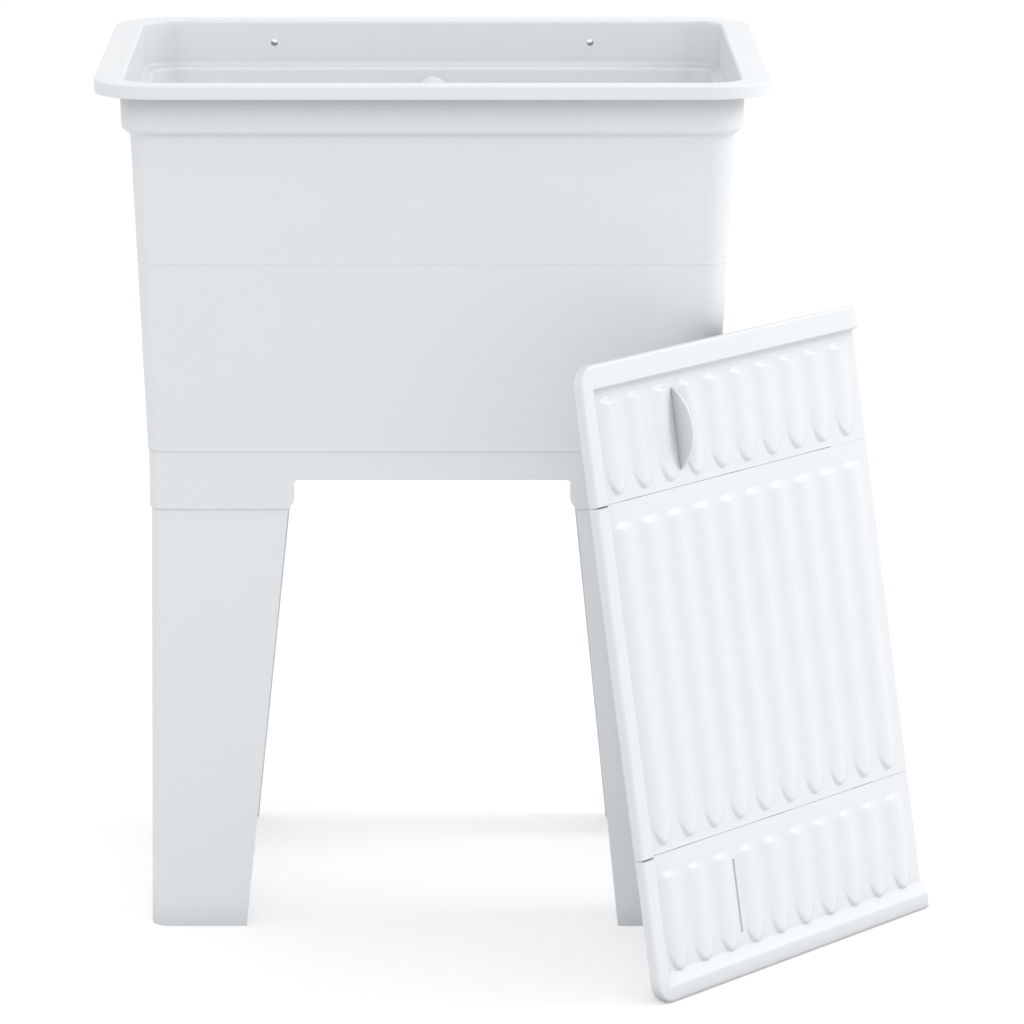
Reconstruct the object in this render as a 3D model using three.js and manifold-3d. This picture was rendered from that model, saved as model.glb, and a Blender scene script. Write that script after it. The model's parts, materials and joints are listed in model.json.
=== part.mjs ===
// Free-standing utility laundry sink with a leaning three-part washboard.
// Millimetres, +Z up, the sink faces -Y. Built in sink coordinates (sink centre line on Z, floor
// at 0) and moved at the end so that the middle of the whole part's base is the origin.
import * as THREE from "three";
import { mergeVertices } from "three/addons/utils/BufferGeometryUtils.js";
import Module from "manifold-3d";

const wasm = await Module();
wasm.setup();

// ---------------------------------------------------------------- driving dimensions
const seatGap = 0.3; // between touching pieces
const cornerSteps = 5; // facets round each quarter corner
const roundSides = 24; // facets round drain pieces
const smallSides = 12; // facets round screws, pins and bosses

// tub: rim
const rimWidth = 650;
const rimDepth = 500;
const rimHeight = 845;
const rimCornerRadius = 60;
const rimBand = 28.7; // top face, from the outer edge to the basin wall
const lipDrop = 13;
const lipWall = 3.6;
const tubWall = 4;

// tub: heights, as drops below the rim's top face and steps from the body's foot
const skirtDrop = 46;
const bodyStepDrop = 178;
const bodyDrop = 363;
const overflowDrop = 74;
const apronDepth = 30; // body's foot to the lower edge between the leg collars
const collarDepth = 29; // from there to the lower edge of the collars
const floorRise = 18; // floor's edge above the body's foot
const floorFall = 11.5; // drain seat below the floor's edge
const skirtBottomZ = rimHeight - skirtDrop;
const bodyStepZ = rimHeight - bodyStepDrop;
const bodyBottomZ = rimHeight - bodyDrop;
const overflowZ = rimHeight - overflowDrop;
const apronEdgeZ = bodyBottomZ - apronDepth;
const collarEdgeZ = apronEdgeZ - collarDepth;
const floorEdgeZ = bodyBottomZ + floorRise;
const drainSeatZ = floorEdgeZ - floorFall;

// tub: skirt, body and apron, as setbacks from the rim's outer edge
const skirtTaper = 1.3;
const shoulderSetback = 8.6;
const shoulderHeight = 11;
const bodyTaper = 13.2; // draw of the body between shoulder and apron
const beadHeight = 4;
const beadOut = 0.5;
const bodyTopRadius = 26;
const bodyBottomRadius = 18;
const apronStep = 1.1;
const apronRadius = 18;
const apronWall = 3.2;

// tub: floor, drain seat and undersides
const floorFillet = 20;
const floorThickness = 4.5;
const drainSeatDrop = 2.5;
const drainSeatRadius = 62;
const drainHoleRadius = 45;
const bossInset = 34; // leg boss axis from the spigot's inner corner
const bossRadius = 8;
const floorRibWidth = 3;
const wallHoleSpacing = 326;
const wallHoleDrop = 23.2;
const wallHoleRadius = 3.5;
const wallBossRadius = 8;
const rimBackClearance = 1.2; // wall bosses stop just short of the rim's rear face
const notchFlare = 6;

// legs
const legSetback = 1.8; // leg face behind the apron face at the seam
const legSplay = 3.6; // the foot stands this much further out
const legWall = 4;
const legTopWidth = 134;
const legFootWidth = 94;
const legTopDepth = 104;
const legFootDepth = 74;
const legReturn = 9; // inward lip on each free edge
const legCornerRadius = 18;
const spigotWall = 3.2;
const spigotLength = 57;
const spigotInset = 3;
const legPlateThickness = 4;
const legShelfThickness = 3;
const soleWidth = 13;
const soleThickness = 4;
const legScrewRadius = 2.5;
const legScrewHeadRadius = 5;
const legScrewBite = 13;

// drain
const gasketThickness = 1.8;
const flangeRadius = 56.5;
const steelThickness = 1.2;
const cupRadius = 38.7;
const cupDepth = 20.5;
const cupHoleRadius = 4.5;
const bodyCupClearance = 2.3;
const bodyWall = 3;
const cupHoleCircle = 23;
const socketLength = 28;
const tailRadius = 20;
const tailWall = 3;
const tailLength = 67.5; // from the drain seat down
const tailEndZ = drainSeatZ - tailLength;
const nutRadius = 25.5;
const nutLength = 10;
const nutFloor = 2.4;
const boltRadius = 2.5;
const boltHeadRadius = 5.5;
const boltLength = 17;

// overflow
const overflowHoleRadius = 13;
const rosetteRadius = 17.5;
const rosetteDepth = 5.2;
const overflowScrewRadius = 2;
const pipeRadius = 10;
const pipeWall = 1.6;
const pipeBackset = 18.5; // pipe axis behind the middle of the basin wall
const pipeDrop = 50; // pipe axis below the drain seat where it meets the drain
const pipeDrainZ = drainSeatZ - pipeDrop;
const pipeBend = 30;
const socketWall = 2.2;
const socketDepth = 15;

// washboard
const boardWidth = 430;
const boardLength = 609.3;
const boardThickness = 10.5;
const boardSheet = 2.4;
const boardYaw = 49; // degrees
const boardLean = 9.98; // degrees
const boardRestGap = 0.8; // between the leaning board and the tub
const boardTouchU = 241; // where the tub's corner meets it, from its left edge
const topFlapLength = 133;
const bottomFlapLength = 139.3;
const endBar = 18.5;
const sideBorder = 16.5;
const recessDepth = boardThickness - boardSheet;
const boardCornerRadius = 20;
const faceRound = 2.2;
const foldRound = 0.7;
const backChamfer = 0.8;
const washRibCount = 10;
const firstRibU = 43;
const washRibPitch = 39.7;
const washRibWidth = 28;
const washRibHeight = 3.2;
const washRibEndGap = 9;
const stopRibDepth = 15.7;
const stopRibWidth = 3;
const stopRibInset = 12;
const foldGap = 0.8;
const knuckleRadius = 2.9;
const knuckleWidth = 10;
const knuckleGap = 0.5;
const hingePinRadius = 1.2;
const firstHingeU = 55;
const hingePitch = 145;
const hingeStations = [firstHingeU, firstHingeU + hingePitch, firstHingeU + 2 * hingePitch];
const tabU = 139.5;
const tabChord = 80;
const tangLength = 67;
const tabCentreFromEnd = 78;
const slotU = 142; // empty slot in the bottom flap
const slotLength = 71.4;
const slotCentreFromEnd = 75.5;
const tabHeight = 20.5;
const tabThickness = 2.4;

// ---------------------------------------------------------------- solids and meshes
function solidOf(geometry) {
  geometry.deleteAttribute("normal");
  geometry.deleteAttribute("uv");
  const merged = mergeVertices(geometry, 1e-4);
  const vertProperties = new Float32Array(merged.attributes.position.array);
  const faces = [];
  for (let i = 0; i < merged.index.count; i += 3) {
    const [a, b, c] = [0, 1, 2].map((k) => merged.index.getX(i + k));
    if (a !== b && b !== c && c !== a) faces.push([a, b, c]);
  }
  const triVerts = new Uint32Array(faces.flat());
  return new wasm.Manifold(new wasm.Mesh({ numProp: 3, vertProperties, triVerts }));
}

function geometryOf(solid) {
  const mesh = solid.getMesh();
  const geometry = new THREE.BufferGeometry();
  geometry.setAttribute("position", new THREE.BufferAttribute(new Float32Array(mesh.vertProperties), 3));
  geometry.setIndex(new THREE.BufferAttribute(new Uint32Array(mesh.triVerts), 1));
  geometry.computeVertexNormals();
  return geometry;
}

function signedVolume(points, faces) {
  let total = 0;
  for (const [a, b, c] of faces) {
    total += points[a].dot(new THREE.Vector3().crossVectors(points[b], points[c]));
  }
  return total;
}

function facedSolid(points, faces) {
  const outward = signedVolume(points, faces) > 0 ? faces : faces.map(([a, b, c]) => [a, c, b]);
  const geometry = new THREE.BufferGeometry();
  geometry.setFromPoints(points);
  geometry.setIndex(outward.flat());
  return solidOf(geometry);
}

// Skin over a row of level rings with equal point counts. A loop joins its last ring to its
// first; otherwise both ends are closed with flat caps.
function loft(levels, loop = false) {
  const outline = levels[0].map((p) => new THREE.Vector2(p.x, p.y));
  const clockwise = THREE.ShapeUtils.isClockWise(outline);
  const rings = clockwise ? levels.map((ring) => [...ring].reverse()) : levels;
  const count = outline.length;
  const faces = [];
  const spans = loop ? rings.length : rings.length - 1;
  for (let i = 0; i < spans; i++) {
    const near = i * count;
    const far = ((i + 1) % rings.length) * count;
    for (let j = 0; j < count; j++) {
      const k = (j + 1) % count;
      faces.push([near + j, near + k, far + k]);
      faces.push([near + j, far + k, far + j]);
    }
  }
  if (!loop) {
    const last = (rings.length - 1) * count;
    const contour = rings[0].map((p) => new THREE.Vector2(p.x, p.y));
    for (const [a, b, c] of THREE.ShapeUtils.triangulateShape(contour, [])) {
      faces.push([a, c, b]);
      faces.push([last + a, last + b, last + c]);
    }
  }
  return facedSolid(rings.flat(), faces);
}

function box(x0, x1, y0, y1, z0, z1) {
  const geometry = new THREE.BoxGeometry(x1 - x0, y1 - y0, z1 - z0);
  geometry.translate((x0 + x1) / 2, (y0 + y1) / 2, (z0 + z1) / 2);
  return solidOf(geometry);
}

// Cylinder between two points
function rod(from, to, radius, sides = smallSides) {
  const along = new THREE.Vector3().subVectors(to, from);
  const geometry = new THREE.CylinderGeometry(radius, radius, along.length(), sides);
  geometry.translate(0, along.length() / 2, 0);
  const turn = new THREE.Quaternion().setFromUnitVectors(new THREE.Vector3(0, 1, 0), along.clone().normalize());
  geometry.applyQuaternion(turn);
  geometry.translate(from.x, from.y, from.z);
  return solidOf(geometry);
}

function post(x, y, z0, z1, radius, sides = smallSides) {
  return rod(new THREE.Vector3(x, y, z0), new THREE.Vector3(x, y, z1), radius, sides);
}

// Radius of a many-sided hole whose flats clear a round piece by the seat gap
function bore(radius, sides = smallSides) {
  return (radius + seatGap) / Math.cos(Math.PI / sides);
}

// Closed profile of [radius, height] pairs turned about Z
function turned(profile, sides = roundSides) {
  const path = profile.map(([r, z]) => new THREE.Vector2(r, z));
  if (profile[0][0] > 0) path.push(path[0].clone());
  const area = THREE.ShapeUtils.area(profile.map(([r, z]) => new THREE.Vector2(r, z)));
  const geometry = new THREE.LatheGeometry(area > 0 ? path : path.reverse(), sides);
  geometry.rotateX(Math.PI / 2);
  return solidOf(geometry);
}

// Outline of [x, y] pairs pushed up from z0 to z1
function plate(outline, z0, z1) {
  const shape = new THREE.Shape(outline.map(([x, y]) => new THREE.Vector2(x, y)));
  const geometry = new THREE.ExtrudeGeometry(shape, { depth: z1 - z0, bevelEnabled: false });
  geometry.translate(0, 0, z0);
  return solidOf(geometry);
}

function moved(solid, matrix) {
  const geometry = geometryOf(solid);
  geometry.applyMatrix4(matrix);
  return solidOf(geometry);
}

const sink = new THREE.Group();

function addPiece(parent, name, solid, look) {
  const mesh = new THREE.Mesh(geometryOf(solid), new THREE.MeshStandardMaterial(look));
  mesh.name = name;
  parent.add(mesh);
  return mesh;
}

const whitePlastic = { color: 0xeef1f4, roughness: 0.38, metalness: 0 };
const legPlastic = { color: 0xe9ecee, roughness: 0.42, metalness: 0 };
const boardPlastic = { color: 0xf1f4f7, roughness: 0.4, metalness: 0 };
const steel = { color: 0xc9ccce, roughness: 0.25, metalness: 1 };
const rubber = { color: 0x2a2b2c, roughness: 0.8, metalness: 0 };
const pipePlastic = { color: 0xdfe2e3, roughness: 0.5, metalness: 0 };

// ---------------------------------------------------------------- tub
const bandTop = rimHeight;
const skirtSetback = rimBand - tubWall;
const skirtFoot = skirtSetback + skirtTaper;
const bodyTop = skirtFoot + shoulderSetback;
const bodyTopZ = skirtBottomZ - shoulderHeight;
const bodyFoot = bodyTop + bodyTaper;
const apron = bodyFoot + apronStep;
const bodySlope = bodyTaper / (bodyTopZ - bodyBottomZ);

// Setback and corner radius of the body's outer face at a height
function bodySetback(z) {
  return bodyTop + (bodyTopZ - z) * bodySlope;
}

function bodyRadius(z) {
  const share = (bodyTopZ - z) / (bodyTopZ - bodyBottomZ);
  return bodyTopRadius + (bodyBottomRadius - bodyTopRadius) * share;
}

function rimRing(setback, radius, z) {
  const halfWidth = rimWidth / 2 - setback - radius;
  const halfDepth = rimDepth / 2 - setback - radius;
  const signs = [[1, 1], [-1, 1], [-1, -1], [1, -1]];
  return signs.flatMap(([sx, sy], corner) =>
    Array.from({ length: cornerSteps + 1 }, (_, i) => {
      const angle = ((corner + i / cornerSteps) * Math.PI) / 2;
      const x = sx * halfWidth + radius * Math.cos(angle);
      return new THREE.Vector3(x, sy * halfDepth + radius * Math.sin(angle), z);
    }),
  );
}

function roundRing(radius, z) {
  const count = 4 * (cornerSteps + 1);
  return Array.from({ length: count }, (_, i) => {
    const angle = ((i + 0.5) / count) * 2 * Math.PI;
    return new THREE.Vector3(radius * Math.cos(angle), radius * Math.sin(angle), z);
  });
}

function bodyRings(offset, zs) {
  return zs.map(([z, out = 0]) => rimRing(bodySetback(z) + offset - out, bodyRadius(z) - offset, z));
}

function tubShell() {
  const skirtRadius = rimCornerRadius - skirtSetback;
  const underBand = bandTop - tubWall;
  const lipEdge = bandTop - lipDrop;
  const inner = tubWall;
  const shoulderInner = skirtBottomZ + tubWall;
  const apronInner = apron + apronWall;
  const underFloor = drainSeatZ - floorThickness;
  const floorTopZ = drainSeatZ + drainSeatDrop;
  const filletTop = floorEdgeZ + floorFillet;
  const filletSetback = bodySetback(filletTop) + inner;
  const rings = [
    // lip and the underside of the band
    rimRing(5, rimCornerRadius - 5, bandTop),
    rimRing(1.6, rimCornerRadius - 1.6, bandTop - 1.4),
    rimRing(0, rimCornerRadius, bandTop - 5),
    rimRing(0.3, rimCornerRadius, lipEdge + 2),
    rimRing(1.8, rimCornerRadius - 1.8, lipEdge),
    rimRing(lipWall, rimCornerRadius - lipWall, lipEdge + 0.6),
    rimRing(lipWall + 0.4, rimCornerRadius - lipWall, underBand),
    rimRing(skirtSetback, skirtRadius, underBand),
    // skirt and its rounded shoulder
    rimRing(skirtFoot, skirtRadius - skirtTaper, skirtBottomZ),
    rimRing(skirtFoot + 1, skirtRadius - 2, skirtBottomZ - 3.2),
    rimRing(skirtFoot + 4, skirtRadius - 4, skirtBottomZ - 6),
    rimRing(bodyTop - 0.8, bodyTopRadius, bodyTopZ + 3.2),
    // body with its three drip beads
    ...bodyRings(0, [[bodyTopZ], [bodyStepZ + beadHeight], [bodyStepZ, beadOut * 0.6], [bodyStepZ - 1.6]]),
    ...bodyRings(0, [[bodyBottomZ + beadHeight], [bodyBottomZ + 0.8, beadOut], [bodyBottomZ - 0.8, beadOut]]),
    // apron, outside and inside
    rimRing(apron, apronRadius, bodyBottomZ - 3.4),
    rimRing(apron, apronRadius, collarEdgeZ),
    rimRing(apronInner, apronRadius - apronWall, collarEdgeZ),
    rimRing(apronInner, apronRadius - apronWall, underFloor + 4),
    rimRing(apronInner + 8, apronRadius, floorEdgeZ - floorThickness - 1),
    // underside of the floor, drain hole, drain seat
    roundRing(drainSeatRadius + 8, underFloor + 2),
    roundRing(drainSeatRadius + 4, underFloor),
    roundRing(drainHoleRadius, underFloor),
    roundRing(drainHoleRadius, drainSeatZ),
    roundRing(drainSeatRadius, drainSeatZ),
    roundRing(drainSeatRadius + 3, floorTopZ),
    // floor fillet and basin wall
    rimRing(filletSetback + floorFillet, bodyBottomRadius + 4, floorEdgeZ),
    rimRing(filletSetback + floorFillet * 0.5, bodyBottomRadius, floorEdgeZ + floorFillet * 0.14),
    rimRing(filletSetback + floorFillet * 0.14, bodyBottomRadius - 2, floorEdgeZ + floorFillet * 0.5),
    ...bodyRings(inner, [[filletTop], [bodyStepZ - 1.6], [bodyStepZ, 0.6]]),
    ...bodyRings(inner, [[bodyTopZ - 1.6], [bodyTopZ + 1.6, 0.5]]),
    rimRing(bodyTop + inner - 0.8, bodyTopRadius - inner, bodyTopZ + 8),
    rimRing(skirtFoot + 4 + inner, skirtRadius - 8, shoulderInner - 5),
    rimRing(skirtFoot + 1 + inner, skirtRadius - 6, shoulderInner - 2),
    rimRing(skirtFoot + inner, skirtRadius - 5.3, shoulderInner + 1),
    rimRing(rimBand, skirtRadius - inner, bandTop - 4.5),
    rimRing(rimBand - 1.1, skirtRadius - inner + 1.1, bandTop - 1.3),
    rimRing(rimBand - 4.4, skirtRadius - inner + 4.4, bandTop),
  ];
  return loft(rings, true);
}

// Arch-topped opening between two leg collars, in its own plane [across, height]
function notchOutline(halfWidth) {
  const flareRise = 9;
  const top = 4;
  return [
    [-halfWidth - notchFlare, collarEdgeZ - 10],
    [-halfWidth - notchFlare, collarEdgeZ],
    [-halfWidth - notchFlare * 0.35, collarEdgeZ + flareRise * 0.35],
    [-halfWidth, collarEdgeZ + flareRise],
    [-halfWidth, apronEdgeZ - top],
    [-halfWidth + top * 0.3, apronEdgeZ - top * 0.3],
    [-halfWidth + top, apronEdgeZ],
    [halfWidth - top, apronEdgeZ],
    [halfWidth - top * 0.3, apronEdgeZ - top * 0.3],
    [halfWidth, apronEdgeZ - top],
    [halfWidth, collarEdgeZ + flareRise],
    [halfWidth + notchFlare * 0.35, collarEdgeZ + flareRise * 0.35],
    [halfWidth + notchFlare, collarEdgeZ],
    [halfWidth + notchFlare, collarEdgeZ - 10],
  ];
}

const apronHalfWidth = rimWidth / 2 - apron;
const apronHalfDepth = rimDepth / 2 - apron;
const frontNotchHalf = apronHalfWidth - legSetback - legTopWidth - notchFlare;
const sideNotchHalf = apronHalfDepth - legSetback - legTopDepth - notchFlare;
const spigotHalfWidth = apronHalfWidth - apronWall - seatGap;
const spigotHalfDepth = apronHalfDepth - apronWall - seatGap;
const legBossX = spigotHalfWidth - spigotWall - bossInset;
const legBossY = spigotHalfDepth - spigotWall - bossInset;
const legTopZ = collarEdgeZ + spigotLength;
const legBossTopZ = floorEdgeZ - floorThickness + 0.5;
const quarters = [[-1, -1], [1, -1], [1, 1], [-1, 1]];

function notchCutters() {
  const acrossX = plate(notchOutline(frontNotchHalf), -rimDepth, rimDepth);
  const acrossY = plate(notchOutline(sideNotchHalf), -rimWidth, rimWidth);
  const upright = new THREE.Matrix4().makeRotationX(Math.PI / 2);
  const sideways = new THREE.Matrix4().makeRotationZ(Math.PI / 2).multiply(upright);
  return moved(acrossX, upright).add(moved(acrossY, sideways));
}

// Rib under the floor from the drain seat out to a leg boss
function floorRib(sx, sy) {
  const reach = Math.hypot(legBossX, legBossY);
  const inner = drainSeatRadius + 1;
  const under = drainSeatZ - floorThickness;
  const outline = [
    [inner, legTopZ + 1],
    [reach, legTopZ + 1],
    [reach, legBossTopZ],
    [inner, under + floorThickness * 0.5],
  ];
  const rib = plate(outline, -floorRibWidth / 2, floorRibWidth / 2);
  const turn = new THREE.Matrix4().makeRotationZ(Math.atan2(sy * legBossY, sx * legBossX));
  return moved(rib, turn.multiply(new THREE.Matrix4().makeRotationX(Math.PI / 2)));
}

const overflowTilt = Math.atan(bodySlope);
const overflowWallY = rimDepth / 2 - bodySetback(overflowZ) - tubWall / 2;
const overflowFrame = new THREE.Matrix4()
  .makeTranslation(0, overflowWallY, overflowZ)
  .multiply(new THREE.Matrix4().makeRotationX(-overflowTilt));
const wallHoleZ = rimHeight - wallHoleDrop;

function makeTub() {
  let tub = tubShell();
  for (const [sx, sy] of quarters) {
    tub = tub.add(post(sx * legBossX, sy * legBossY, legTopZ + seatGap, legBossTopZ, bossRadius));
    tub = tub.add(floorRib(sx, sy));
  }
  for (const [sx, sy] of quarters) {
    const holeTop = legTopZ + legScrewBite + 1.5;
    tub = tub.subtract(post(sx * legBossX, sy * legBossY, legTopZ - 5, holeTop, bore(legScrewRadius)));
  }
  const skirtBackY = rimDepth / 2 - skirtSetback;
  for (const side of [-1, 1]) {
    const x = (side * wallHoleSpacing) / 2;
    const at = (y) => new THREE.Vector3(x, y, wallHoleZ);
    tub = tub.add(rod(at(skirtBackY - tubWall * 0.6), at(rimDepth / 2 - rimBackClearance), wallBossRadius));
    tub = tub.subtract(rod(at(skirtBackY - 4 * tubWall), at(rimDepth / 2 + 5), wallHoleRadius));
  }
  const through = 3 * tubWall;
  const [from, to] = [new THREE.Vector3(0, -through, 0), new THREE.Vector3(0, through, 0)];
  tub = tub.subtract(moved(rod(from, to, overflowHoleRadius, roundSides), overflowFrame));
  return tub.subtract(notchCutters());
}

addPiece(sink, "tub", makeTub(), whitePlastic);

// ---------------------------------------------------------------- legs
// L section with inward lips, outer corner at the origin, arms along +X and +Y
function angleSection(armX, armY, wall, radius, lip = 0) {
  const outer = Array.from({ length: cornerSteps + 1 }, (_, i) => {
    const angle = Math.PI + (i / cornerSteps) * (Math.PI / 2);
    return [radius + radius * Math.cos(angle), radius + radius * Math.sin(angle)];
  });
  const inner = Array.from({ length: cornerSteps + 1 }, (_, i) => {
    const angle = 1.5 * Math.PI - (i / cornerSteps) * (Math.PI / 2);
    return [radius + (radius - wall) * Math.cos(angle), radius + (radius - wall) * Math.sin(angle)];
  });
  const endX = lip ? [[armX, lip], [armX - wall, lip], [armX - wall, wall]] : [[armX, wall]];
  const endY = lip ? [[wall, armY - wall], [lip, armY - wall], [lip, armY]] : [[wall, armY]];
  return [...outer, [armX, 0], ...endX, ...inner, ...endY, [0, armY]];
}

// Ring of a section whose corner stands at the given half width and half depth
function cornerRing(section, sx, sy, halfWidth, halfDepth, z) {
  return section.map(([a, b]) => new THREE.Vector3(sx * (halfWidth - a), sy * (halfDepth - b), z));
}

function makeLeg(sx, sy) {
  const topHalfWidth = apronHalfWidth - legSetback;
  const topHalfDepth = apronHalfDepth - legSetback;
  const seamZ = collarEdgeZ - seatGap;
  const foot = angleSection(legFootWidth, legFootDepth, legWall, legCornerRadius, legReturn);
  const top = angleSection(legTopWidth, legTopDepth, legWall, legCornerRadius, legReturn);
  const sole = angleSection(legFootWidth, legFootDepth, soleWidth, legCornerRadius);
  const spigotX = legTopWidth - (topHalfWidth - spigotHalfWidth) - spigotInset;
  const spigotY = legTopDepth - (topHalfDepth - spigotHalfDepth) - spigotInset;
  const spigotRadius = apronRadius - apronWall;
  const spigot = angleSection(spigotX, spigotY, spigotWall, spigotRadius, legReturn);
  const footHalfWidth = topHalfWidth + legSplay;
  const footHalfDepth = topHalfDepth + legSplay;
  const shaft = loft([
    cornerRing(foot, sx, sy, footHalfWidth, footHalfDepth, 0),
    cornerRing(top, sx, sy, topHalfWidth, topHalfDepth, seamZ),
  ]);
  const plug = loft([
    cornerRing(spigot, sx, sy, spigotHalfWidth, spigotHalfDepth, seamZ - 14),
    cornerRing(spigot, sx, sy, spigotHalfWidth, spigotHalfDepth, legTopZ),
  ]);
  const shoulderSection = angleSection(spigotX + 2, spigotY + 2, legWall + 2.5, legCornerRadius, legReturn);
  const shoulder = loft([
    cornerRing(shoulderSection, sx, sy, topHalfWidth, topHalfDepth, seamZ - 8),
    cornerRing(shoulderSection, sx, sy, topHalfWidth, topHalfDepth, seamZ),
  ]);
  const soleRing = (z) => cornerRing(sole, sx, sy, footHalfWidth, footHalfDepth, z);
  let leg = shaft.add(plug).add(shoulder).add(loft([soleRing(0), soleRing(soleThickness)]));
  // top plate that carries the tub's boss
  const plateReach = bossInset + bossRadius + 8;
  const plateZ = legTopZ - legPlateThickness;
  const plateX = spigotHalfWidth - 1;
  leg = leg.add(cornerPlate(sx, sy, plateX, spigotHalfDepth - 1, plateReach, plateZ, legPlateThickness));
  leg = leg.subtract(post(sx * legBossX, sy * legBossY, legTopZ - 20, legTopZ + 5, bore(legScrewRadius)));
  // stiffening shelves
  for (const share of [0.33, 0.66]) {
    const z = seamZ * share;
    const out = legSplay * (1 - share) - legWall * 0.6;
    const reach = legFootDepth * 0.75;
    leg = leg.add(cornerPlate(sx, sy, topHalfWidth + out, topHalfDepth + out, reach, z, legShelfThickness));
  }
  return leg;
}

// Triangular plate across the inside of a corner, with a rounded outer corner
function cornerPlate(sx, sy, halfWidth, halfDepth, reach, z, thickness) {
  const cut = legCornerRadius * 0.75;
  const outline = [
    [cut, 1],
    [reach * 1.15, 1],
    [reach * 1.15, legWall],
    [legWall, reach * 1.15],
    [1, reach * 1.15],
    [1, cut],
  ];
  return loft([
    cornerRing(outline, sx, sy, halfWidth, halfDepth, z),
    cornerRing(outline, sx, sy, halfWidth, halfDepth, z + thickness),
  ]);
}

const legNames = ["leg_front_left", "leg_front_right", "leg_rear_right", "leg_rear_left"];
quarters.forEach(([sx, sy], i) => addPiece(sink, legNames[i], makeLeg(sx, sy), legPlastic));

function makeLegScrew(sx, sy) {
  const headTop = legTopZ - legPlateThickness - seatGap;
  const profile = [
    [0, headTop - 3.2],
    [legScrewHeadRadius * 0.7, headTop - 3.2],
    [legScrewHeadRadius, headTop - 1.6],
    [legScrewHeadRadius, headTop],
    [legScrewRadius, headTop],
    [legScrewRadius, legTopZ + legScrewBite - 2],
    [0, legTopZ + legScrewBite],
  ];
  const screw = turned(profile, smallSides);
  const slot = box(-legScrewHeadRadius, legScrewHeadRadius, -0.6, 0.6, headTop - 4, headTop - 2);
  const place = new THREE.Matrix4().makeTranslation(sx * legBossX, sy * legBossY, 0);
  return moved(screw.subtract(slot), place);
}

quarters.forEach(([sx, sy], i) => {
  addPiece(sink, `${legNames[i].replace("leg", "leg_screw")}`, makeLegScrew(sx, sy), steel);
});

// ---------------------------------------------------------------- drain
const flangeUnderZ = drainSeatZ + gasketThickness + 2 * seatGap;
const flangeTopZ = flangeUnderZ + steelThickness;
const shoulderZ = drainSeatZ - 0.2;
const cupInner = cupRadius - steelThickness;
const cupFloorZ = drainSeatZ - cupDepth;
const shoulderRadius = drainHoleRadius - 2.4;
const bodyTopSeatZ = drainSeatZ - floorThickness - gasketThickness - 2 * seatGap;
const bodyBore = cupRadius + bodyCupClearance;

function ringPost(count, radius, hole, z0, z1, sides = 6) {
  return Array.from({ length: count }, (_, i) => {
    const angle = (i / count) * 2 * Math.PI;
    return post(radius * Math.cos(angle), radius * Math.sin(angle), z0, z1, hole, sides);
  });
}

function gasketRing(inner, outer, z0, z1) {
  return turned([[inner, z0], [outer, z0], [outer, z1], [inner, z1]]);
}

function makeDrainFlange() {
  const profile = [
    [boltRadius + 0.8, cupFloorZ],
    [cupRadius - 5, cupFloorZ],
    [cupRadius, cupFloorZ + 5],
    [cupRadius, shoulderZ - steelThickness],
    [shoulderRadius, shoulderZ - steelThickness],
    [shoulderRadius + 1.6, flangeUnderZ],
    [flangeRadius, flangeUnderZ],
    [flangeRadius + 0.7, flangeUnderZ + steelThickness * 0.5],
    [flangeRadius, flangeTopZ],
    [shoulderRadius + 1, flangeTopZ],
    [shoulderRadius - 0.8, shoulderZ],
    [cupInner, shoulderZ],
    [cupInner, cupFloorZ + 5.5],
    [cupInner - 4.5, cupFloorZ + steelThickness],
    [boltRadius + 0.8, cupFloorZ + steelThickness],
  ];
  let flange = turned(profile);
  const outer = ringPost(8, cupHoleCircle, cupHoleRadius, cupFloorZ - 5, cupFloorZ + 5);
  const inner = ringPost(6, cupHoleCircle / 2, cupHoleRadius * 0.55, cupFloorZ - 5, cupFloorZ + 5);
  for (const hole of [...outer, ...inner]) {
    flange = flange.subtract(hole);
  }
  return flange;
}

function makeDrainBolt() {
  const seat = cupFloorZ + steelThickness + seatGap;
  const profile = [
    [0, seat - boltLength],
    [boltRadius, seat - boltLength + 1],
    [boltRadius, seat],
    [boltHeadRadius, seat],
    [boltHeadRadius * 0.8, seat + 1.6],
    [0, seat + 2.2],
  ];
  const slot = box(-boltHeadRadius, boltHeadRadius, -0.6, 0.6, seat + 1, seat + 4);
  return turned(profile, smallSides).subtract(slot);
}

const spiderTopZ = cupFloorZ - seatGap;
const bodyFloorZ = cupFloorZ - 4;
const socketOuter = pipeRadius + seatGap + socketWall;
const socketMouthY = tailRadius + socketLength;

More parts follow.
